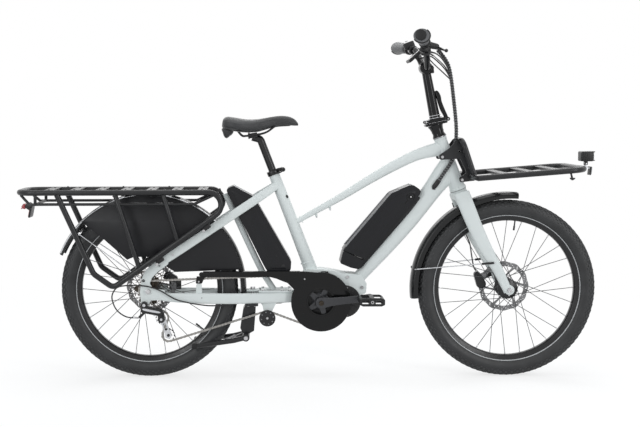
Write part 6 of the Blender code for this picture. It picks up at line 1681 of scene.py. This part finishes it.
def rear_fender():
    """The rear mudguard with its bright trim, its wire stays and their clips."""
    strip = fender_arc(0, 342.6, 34, 158, -6, 110, 20, 15)
    show(strip, "rear_fender", "frame", "black_plastic", "rear_fender", look=FENDER_SKIN)
    trims = edge_trim(323.4, 34.6, -5, 122, 1.5) + edge_trim(337.4, 33.2, 40, 157, 2.6)
    show(joined(*trims), "rear_fender_trim", "frame", "bare_metal", look=CHROME_EDGE)
    wires, tips = [], []
    head = polar((0, TYRE_R), 327, 141)
    foot = (-16, 352)
    bend = between(head, foot, 0.12)
    for side in (-1, 1):
        wires.append(tube([(head[0], side * 34.6, head[1]), (bend[0], side * 40, bend[1]),
            (foot[0], side * 75, foot[1])], 1.9, None, 12))
        tips.append(block((head[0], side * 35.2, head[1]), (16, 3, 12), tilt=-35, edge=1))
        tips.append(bolt_head(foot, side * 74.2, 5, side))
    show(joined(*wires), "rear_fender_wires", "frame", "bare_metal")
    show(joined(*tips), "rear_fender_clips", "frame", "black_plastic")


def front_fender():
    """The front mudguard with its tab, its wire stays and their clips."""
    centre = (WHEELBASE, TYRE_R)
    strip = fender_arc(WHEELBASE, 341.5, 33.4, 84, 186, 80, 25, 21)
    x, z = polar(centre, 354, 117)
    tab = block((x, 0, z - 4), (22, 28, 18), tilt=27, edge=2)
    show(joined(strip, tab), "front_fender", "steering", "black_plastic", "front_fender",
        look=FENDER_SKIN)
    stays, clips = [], []
    x, z = polar(centre, 337, 168)
    for side in (-1, 1):
        path = rounded([(x, side * 33, z), (x + 10, side * 42, z + 2), (1214, side * 69.2, 411)], [8], 6)
        stays.append(tube(path, 2, None, 12))
        clips.append(rod((1168, side * 63, 406), (1210, side * 68.8, 410.6), 4, edge=1))
        clips.append(block((x + 2, side * 33.6, z), (14, 3, 9), edge=1))
    show(joined(*stays), "front_fender_stays", "steering", "bare_metal")
    show(joined(*clips), "front_fender_clips", "steering", "black_plastic")


def dress_guard(name, side):
    """The skirt beside the wheel, with its hem and its clips on the mudguard's edge."""
    rim_r = 337
    centre = (0, TYRE_R)
    outline = arc(centre, rim_r, 12.5, 134, 60) + [(-155, 493), (-76, 422), (-51, 432),
        (5, 432), (93, 378)]
    skirt = plate(outline, side * 40, side * 42, (), 0.6)
    hem = on_side(arc(centre, rim_r - 3, 14, 132, 60), side * 42)
    clips = [across(polar(centre, 334, a), side * 36.2, side * 43, 5, edge=1.2)
        for a in (32, 60, 88, 116)]
    show(joined(skirt, tube(hem, 1.3, None, 8), *clips), name, "frame", "black_plastic", name,
        look=GUARD_SKIN)


def caliper(name, body, spot, y, size, lean, axis, rotor_y, base):
    """A brake caliper slotted for its rotor, with its mount and bolts; size is length and width."""
    x, z = spot
    length, wide = size
    reach = length / 2 - 13
    lean = math.radians(lean)
    low, high = [(x + s * reach * math.cos(lean), z + s * reach * math.sin(lean)) for s in (-1, 1)]
    shell = plate(tongue(low, 17, high, 12), y - wide / 2, y + wide / 2, (), 5, 4)
    shell = cut(shell, across(axis, rotor_y - 1.9, rotor_y + 1.9, 93))
    barrel = across(spot, y + 2, y + 13, 12, edge=2)
    show(joined(shell, base, barrel), name, body, "black_metal", name)
    ahead = Vector((math.cos(lean), 0, math.sin(lean)))
    places = [Vector((x, y + 9.4, z)) + ahead * s * length * 0.36 for s in (-1, 1)]
    show(joined(*[bolt_head((p.x, p.z), p.y, 4, 1) for p in places], across(spot, y + 12.6, y + 13.8, 5)),
        name + "_bolts", body, "axle_steel")


def calipers():
    """Both brake calipers."""
    front_tilt = 24
    caliper("front_caliper", "steering", (1179, 338), 42.8, (62, 18.6), front_tilt + 90,
        (WHEELBASE, TYRE_R), 39, block((1205, 53, 352), (40, 12, 24), tilt=front_tilt, edge=3))
    caliper("rear_caliper", "frame", (72, 346), 53, (50, 18), -20, (0, TYRE_R), 52,
        block((85, 60.5, 320), (44, 9, 36), edge=3))


STAND_PIVOT = (341, 145)


def kickstand_mount():
    """The plate under the chain stays, its bolt and the arm that carries the stand."""
    top = block((362, 0, 262.5), (46, 132, 7), edge=1.6)
    arm = plate(eased([(344, 262), (376, 262), (376, 240), (370, 166), (352, 156), (330, 158), (321, 176),
        (332, 244)], 6, 4), -34, 34, (), 3, 3)
    groove = eased([(346, 238), (364, 238), (361, 190), (343, 190)], 4)
    grooves = [plate(groove, s * 33, s * 35.2, (), 0.8) for s in (-1, 1)]
    show(joined(top, arm, *grooves), "kickstand_mount", "frame", "carrier_paint", "kickstand_mount")
    knob = [rod((366, 0, 262), (366, 0, 316), 5.6), rod((366, 0, 309), (366, 0, 320), 8.4, edge=1.6)]
    screws = [rod((x, s * 52, 256.6), (x, s * 52, 259.6), 5) for s in (-1, 1) for x in (350, 374)]
    show(joined(*knob, *screws), "kickstand_mount_bolts", "frame", "axle_steel")


def spring():
    """The stand's return spring, a coil with a hook at each end."""
    start, end = Vector((304, -30, 149)), Vector((262, -41, 131))
    run = end - start
    side = run.cross(Vector((0, 1, 0))).normalized()
    up = run.cross(side).normalized()
    turns, steps, coil_r, wire_r = 16, 12, 4.6, 1
    coil = []
    for i in range(turns * steps + 1):
        s = i / (turns * steps)
        a = 2 * math.pi * turns * s
        coil.append(tuple(start + run * s + (side * math.cos(a) + up * math.sin(a)) * coil_r))
    paths = (coil, [(332, -28, 160), (318, -29, 155), tuple(start)],
        [tuple(end), (252, -45, 127), (246, -50, 127)])
    return joined(*[tube(path, wire_r, None, 8) for path in paths])


def kickstand():
    """A barrel across the bicycle, two bent legs with rubber feet, and the return spring."""
    x, z = STAND_PIVOT
    pieces = [across(STAND_PIVOT, -58, 58, 13.2, edge=1.6)]
    feet = []
    for side in (-1, 1):
        leg = [(x, side * 50, z), (296, side * 50, 134), (162, side * 57, 117)]
        pieces.append(tube(rounded(leg, [60]), 9))
        feet.append(block((160, side * 57.3, 117), (18, 24, 22), tilt=-8, edge=5, segments=4))
        feet.append(block((152.6, side * 57.3, 112), (5, 26, 14), tilt=-8, edge=1.6))
    show(joined(*pieces), "kickstand", "kickstand", "carrier_paint", "kickstand")
    show(joined(*feet), "kickstand_feet", "kickstand", "grip_rubber")
    show(joined(*[bolt_head(STAND_PIVOT, s * 57.6, 8, s) for s in (-1, 1)]), "kickstand_bolts",
        "kickstand", "axle_steel")
    show(spring(), "kickstand_spring", "kickstand", "axle_steel")


# Cables

CABLE_ROUTE = [(1002, -92, 1147), (1030, -78, 1118), (1050, -62, 1076), (1066, -50, 979),
    (1078, -38, 880), (1076, -30.5, 814), (1066, -30, 768), (1037, -29, 722), (1012, -27, 684),
    (1000, -16, 662)]
SHIFT_ROUTE = [(262, -62, 262), (215, -70, 262.5), (170, -78, 269), (136, -80, 276), (94, -80.5, 288),
    (42, -81, 318), (-3, -81, 333), (-62, -84, 337), (-104, -87, 331), (-122, -87, 310), (-124, -86, 285),
    (-109, -84, 250), (-76, -82, 226), (-34, -80, 221.4)]
HOSE_ROUTE = [(1083.5, 60, 612), (1104.5, 62, 556), (1125, 60, 514), (1146, 56, 468), (1153, 50, 424),
    (1160, 46, 384), (1168, 45, 368)]
BRANCHES = [[(1000, -130, 1148), (1012, -112, 1140), (1026, -92, 1122), (1041, -74, 1098),
    (1050, -62, 1076)], [(960, -176, 1138), (985, -150, 1134), (1012, -112, 1120), (1036, -80, 1094),
    (1050, -63, 1070)], [(1004, 126, 1150), (1016, 90, 1138), (1022, 30, 1122), (1036, -30, 1096),
    (1050, -58, 1066)], [(954, 168, 1172), (992, 120, 1140), (1008, 40, 1108), (1028, -24, 1078),
    (1052, -54, 1050)], [(950, -12, 1122), (984, -34, 1130), (1012, -52, 1108), (1036, -60, 1080),
    (1053, -60, 1050)]]


def bundle_strands(route, first):
    """Four strands side by side along a route, and the spiral wrap round them."""
    strand_r, strand_reach = 2.7, 3.3
    wire_r, wrap_reach, wrap_pitch, step = 1.3, 6.9, 9.5, 1.3
    places = [Vector(p) for p in route]
    strands = [[] for _ in range(4)]
    wrap = []
    side = Vector((0, 1, 0))
    done = 0
    for i, place in enumerate(places):
        heading = (places[min(i + 1, len(places) - 1)] - places[max(i - 1, 0)]).normalized()
        side = (side - heading * side.dot(heading)).normalized()
        up = heading.cross(side)
        for k in range(4):
            a = math.pi / 2 * k + 0.5
            strands[k].append(tuple(place + (side * math.cos(a) + up * math.sin(a)) * strand_reach))
        if i + 1 < len(places):
            gap = places[i + 1] - place
            steps = max(2, round(gap.length / step))
            for j in range(steps):
                a = 2 * math.pi * (done + gap.length * j / steps) / wrap_pitch + first
                wrap.append(tuple(place + gap * j / steps
                    + (side * math.cos(a) + up * math.sin(a)) * wrap_reach))
            done += gap.length
    return [tube(s, strand_r, None, 12) for s in strands], tube(wrap, wire_r, None, 8)


def cable(route, radius, count):
    return tube(smooth(route, count), radius, None, 14)


def cables():
    """The wrapped bundle, in two lengths split at the fold's height, and its branches."""
    route = smooth(CABLE_ROUTE, 90)
    fold_z = 895
    split = min(range(len(route)), key=lambda i: abs(route[i][2] - fold_z))
    upper, upper_wrap = bundle_strands(route[:split + 1], 0)
    lower, lower_wrap = bundle_strands(route[split:], 0.6)
    # The wraps are drawn in the pale grey of their painted highlight.
    pieces = [show(joined(*upper), "cable_bundle", None, "cable_cover", "cable_bundle"),
        show(upper_wrap, "cable_wrap", None, "cable_cover", look=WRAP_HIGHLIGHT_GREY)]
    for piece in pieces:
        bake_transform(piece)
    pieces = [show(joined(*lower), "cable_bundle_low", None, "cable_cover"),
        show(lower_wrap, "cable_wrap_low", None, "cable_cover", look=WRAP_HIGHLIGHT_GREY)]
    for piece in pieces:
        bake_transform(piece)
    show(joined(*[cable(line, 2.3, 40) for line in BRANCHES]), "cable_branches", "handlepost",
        "cable_cover")
    boots = [rod(line[0], line[1], *radii) for line,
        radii in zip(BRANCHES, ((3.4, 2.8), (3.2, 2.6), (3.4, 2.8)))]
    show(joined(*boots), "cable_boots", "handlepost", "black_plastic")
    show(cable(SHIFT_ROUTE, 2.4, 150), "rear_shift_cable", "frame", "cable_cover", "rear_shift_cable")
    show(rod((-52, -81, 223.2), (-33, -80, 221.6), 3.4, 3), "rear_shift_ferrule", "frame", "axle_steel")
    show(cable(HOSE_ROUTE, 2.4, 80), "front_brake_hose", "steering", "cable_cover", "front_brake_hose")
    grommet = lofted([(1024, -28, 703, 16.5, 16.5), (1012, -27, 685, 17.5, 17.5),
        (1000, -23, 668, 16, 14)], 2, 24, 5, 2)
    show(grommet, "frame_grommet", "frame", "black_plastic")


# Studio

PHOTO_WIDTH_PX = 640
LENS_PX = 1146.6


def seen_directly(nodes, links):
    """One where a ray comes from the camera, a mirror or glass, and nought elsewhere."""
    path = nodes.new("ShaderNodeLightPath")
    share = path.outputs["Is Camera Ray"]
    for kind in ("Is Glossy Ray", "Is Transmission Ray"):
        either = nodes.new("ShaderNodeMath")
        either.operation = "MAXIMUM"
        links.new(share, either.inputs[0])
        links.new(path.outputs[kind], either.inputs[1])
        share = either.outputs[0]
    return share


def mixed(nodes, links, share, first, second):
    """A mix of two shaders by a share."""
    mix = nodes.new("ShaderNodeMixShader")
    for socket, source in zip(mix.inputs, (share, first, second)):
        links.new(source, socket)
    return mix.outputs[0]


def floor_material():
    """Pale and plain, white to the eye further out, and keeping the shadow under the object."""
    material = bpy.data.materials.new("floor")
    material.use_nodes = True
    nodes, links = material.node_tree.nodes, material.node_tree.links
    nodes.clear()
    plain = added(nodes, "ShaderNodeBsdfDiffuse", {"Color": (0.72, 0.72, 0.72, 1)})
    shaded = added(nodes, "ShaderNodeBsdfDiffuse", {"Color": (0.38, 0.38, 0.38, 1)})
    glow = added(nodes, "ShaderNodeEmission", {"Strength": 0.70})
    near = nodes.new("ShaderNodeAddShader")
    links.new(shaded.outputs[0], near.inputs[0])
    links.new(glow.outputs[0], near.inputs[1])
    white = nodes.new("ShaderNodeEmission")
    place = nodes.new("ShaderNodeTexCoord")
    length = nodes.new("ShaderNodeVectorMath")
    length.operation = "LENGTH"
    links.new(place.outputs["Object"], length.inputs[0])
    fade = added(nodes, "ShaderNodeMapRange", {"From Min": 1.2, "From Max": 2.6})
    fade.interpolation_type = "SMOOTHSTEP"
    links.new(length.outputs["Value"], fade.inputs["Value"])
    far = mixed(nodes, links, fade.outputs["Result"], near.outputs[0], white.outputs[0])
    whole = nodes.new("ShaderNodeMixShader")
    links.new(seen_directly(nodes, links), whole.inputs[0])
    links.new(plain.outputs[0], whole.inputs[1])
    links.new(far, whole.inputs[2])
    out = nodes.new("ShaderNodeOutputMaterial")
    links.new(whole.outputs[0], out.inputs["Surface"])
    return material


def lamp(name, place, target, size, power, colour=(1, 1, 1)):
    """A rectangular lamp that faces its target; size is width and height."""
    data = bpy.data.lights.new(name, "AREA")
    data.shape = "RECTANGLE"
    data.size, data.size_y = size
    data.energy = power
    data.color = colour
    obj = placed(name, data)
    obj.location = place
    obj.rotation_euler = (Vector(target) - Vector(place)).to_track_quat("-Z", "Y").to_euler()


def lamps():
    """A white sight of the world with a softer light from it, and four large soft lamps."""
    world = bpy.data.worlds.new("studio")
    bpy.context.scene.world = world
    world.use_nodes = True
    nodes, links = world.node_tree.nodes, world.node_tree.links
    nodes.clear()
    seen = added(nodes, "ShaderNodeBackground", {"Color": (1, 1, 1, 1), "Strength": 1})
    soft = added(nodes, "ShaderNodeBackground", {"Color": (0.93, 0.97, 1, 1), "Strength": 0.46})
    seen_share = seen_directly(nodes, links)
    mix = mixed(nodes, links, seen_share, soft.outputs[0], seen.outputs[0])
    out = nodes.new("ShaderNodeOutputWorld")
    links.new(mix, out.inputs["Surface"])
    lamp("top_bank", (0, 0.1, 3.6), (0, 0.1, 0.4), (4.4, 1.8), 39)
    lamp("left_bank", (-2.4, -3.2, 1.5), (0, 0, 0.4), (0.7, 2.4), 29, (0.97, 0.99, 1))
    lamp("right_bank", (2.8, -2.8, 1.6), (0.3, 0, 0.5), (0.7, 2.4), 35)
    lamp("back_bank", (0.4, 2.8, 2.2), (0, 0, 0.6), (3.6, 0.9), 24)


def photo_camera():
    """The camera where the photograph was taken from."""
    data = bpy.data.cameras.new("camera")
    data.sensor_width = 36
    data.lens = LENS_PX / PHOTO_WIDTH_PX * 36
    data.shift_x = 0.0901
    camera = placed("camera", data)
    pitch, roll = math.radians(4.70), math.radians(-0.17)
    ahead = Vector((0, math.cos(pitch), -math.sin(pitch)))
    level = Vector((1, 0, 0))
    above = level.cross(ahead)
    right = level * math.cos(roll) + above * math.sin(roll)
    up = above * math.cos(roll) - level * math.sin(roll)
    turn = Matrix((right, up, -ahead)).transposed().to_4x4()
    camera.matrix_world = Matrix.Translation(at(400.5, -4050, 913.5)) @ turn
    bpy.context.scene.camera = camera
    bpy.context.scene.view_settings.view_transform = "Standard"


def studio():
    """A pale floor under soft lamps, in front of white, and the camera at the photograph's angle."""
    far = 30
    finish_on = floor_material()
    mesh = bpy.data.meshes.new("floor")
    mesh.from_pydata([(-far, -far, 0), (far, -far, 0), (far, far, 0), (-far, far, 0)], [], [(0, 1, 2, 3)])
    mesh.materials.append(finish_on)
    floor = placed("floor", mesh)
    lamps()
    photo_camera()


def drive():
    """The chain with everything that it runs over, and the guard beside it."""
    links = 2 * round(chain_length(CAGE_ANGLE) / 2)
    wheels_on = chain_wheels(cage_angle_for(links))
    pins = chain_pins(wheels_on, links)
    ring, cog, guide, tension, idler = wheels_on
    chain(pins, wheels_on)
    crank_set(ring)
    pedal("pedal_right", -1)
    pedal("pedal_left", 1)
    cassette(cog)
    idler_wheel(idler)
    pulley("guide_pulley", guide)
    pulley("tension_pulley", tension)
    derailleur(tension)
    chain_guard()


wheels()
drive()
front_frame()
seat_tube()
rear_frame("rear_frame_right", -1)
rear_frame("rear_frame_left", 1)
battery_tube()
motor()
battery_dock()
main_battery()
rear_battery()
seatpost()
saddle()
seat_collar_lever()
fork()
stem_post()
stem_lever()
handlebar()
grip("grip_right", -1)
grip("grip_left", 1)
brake_lever("brake_lever_right", -1)
brake_lever("brake_lever_left", 1)
shift_lever()
assist_button()
display()
rack_deck()
rack_side("rack_side_right", -1)
rack_side("rack_side_left", 1)
rear_light()
front_rack()
front_fittings()
headlight()
rear_fender()
front_fender()
dress_guard("dress_guard_right", -1)
dress_guard("dress_guard_left", 1)
calipers()
kickstand_mount()
kickstand()
cables()
studio()
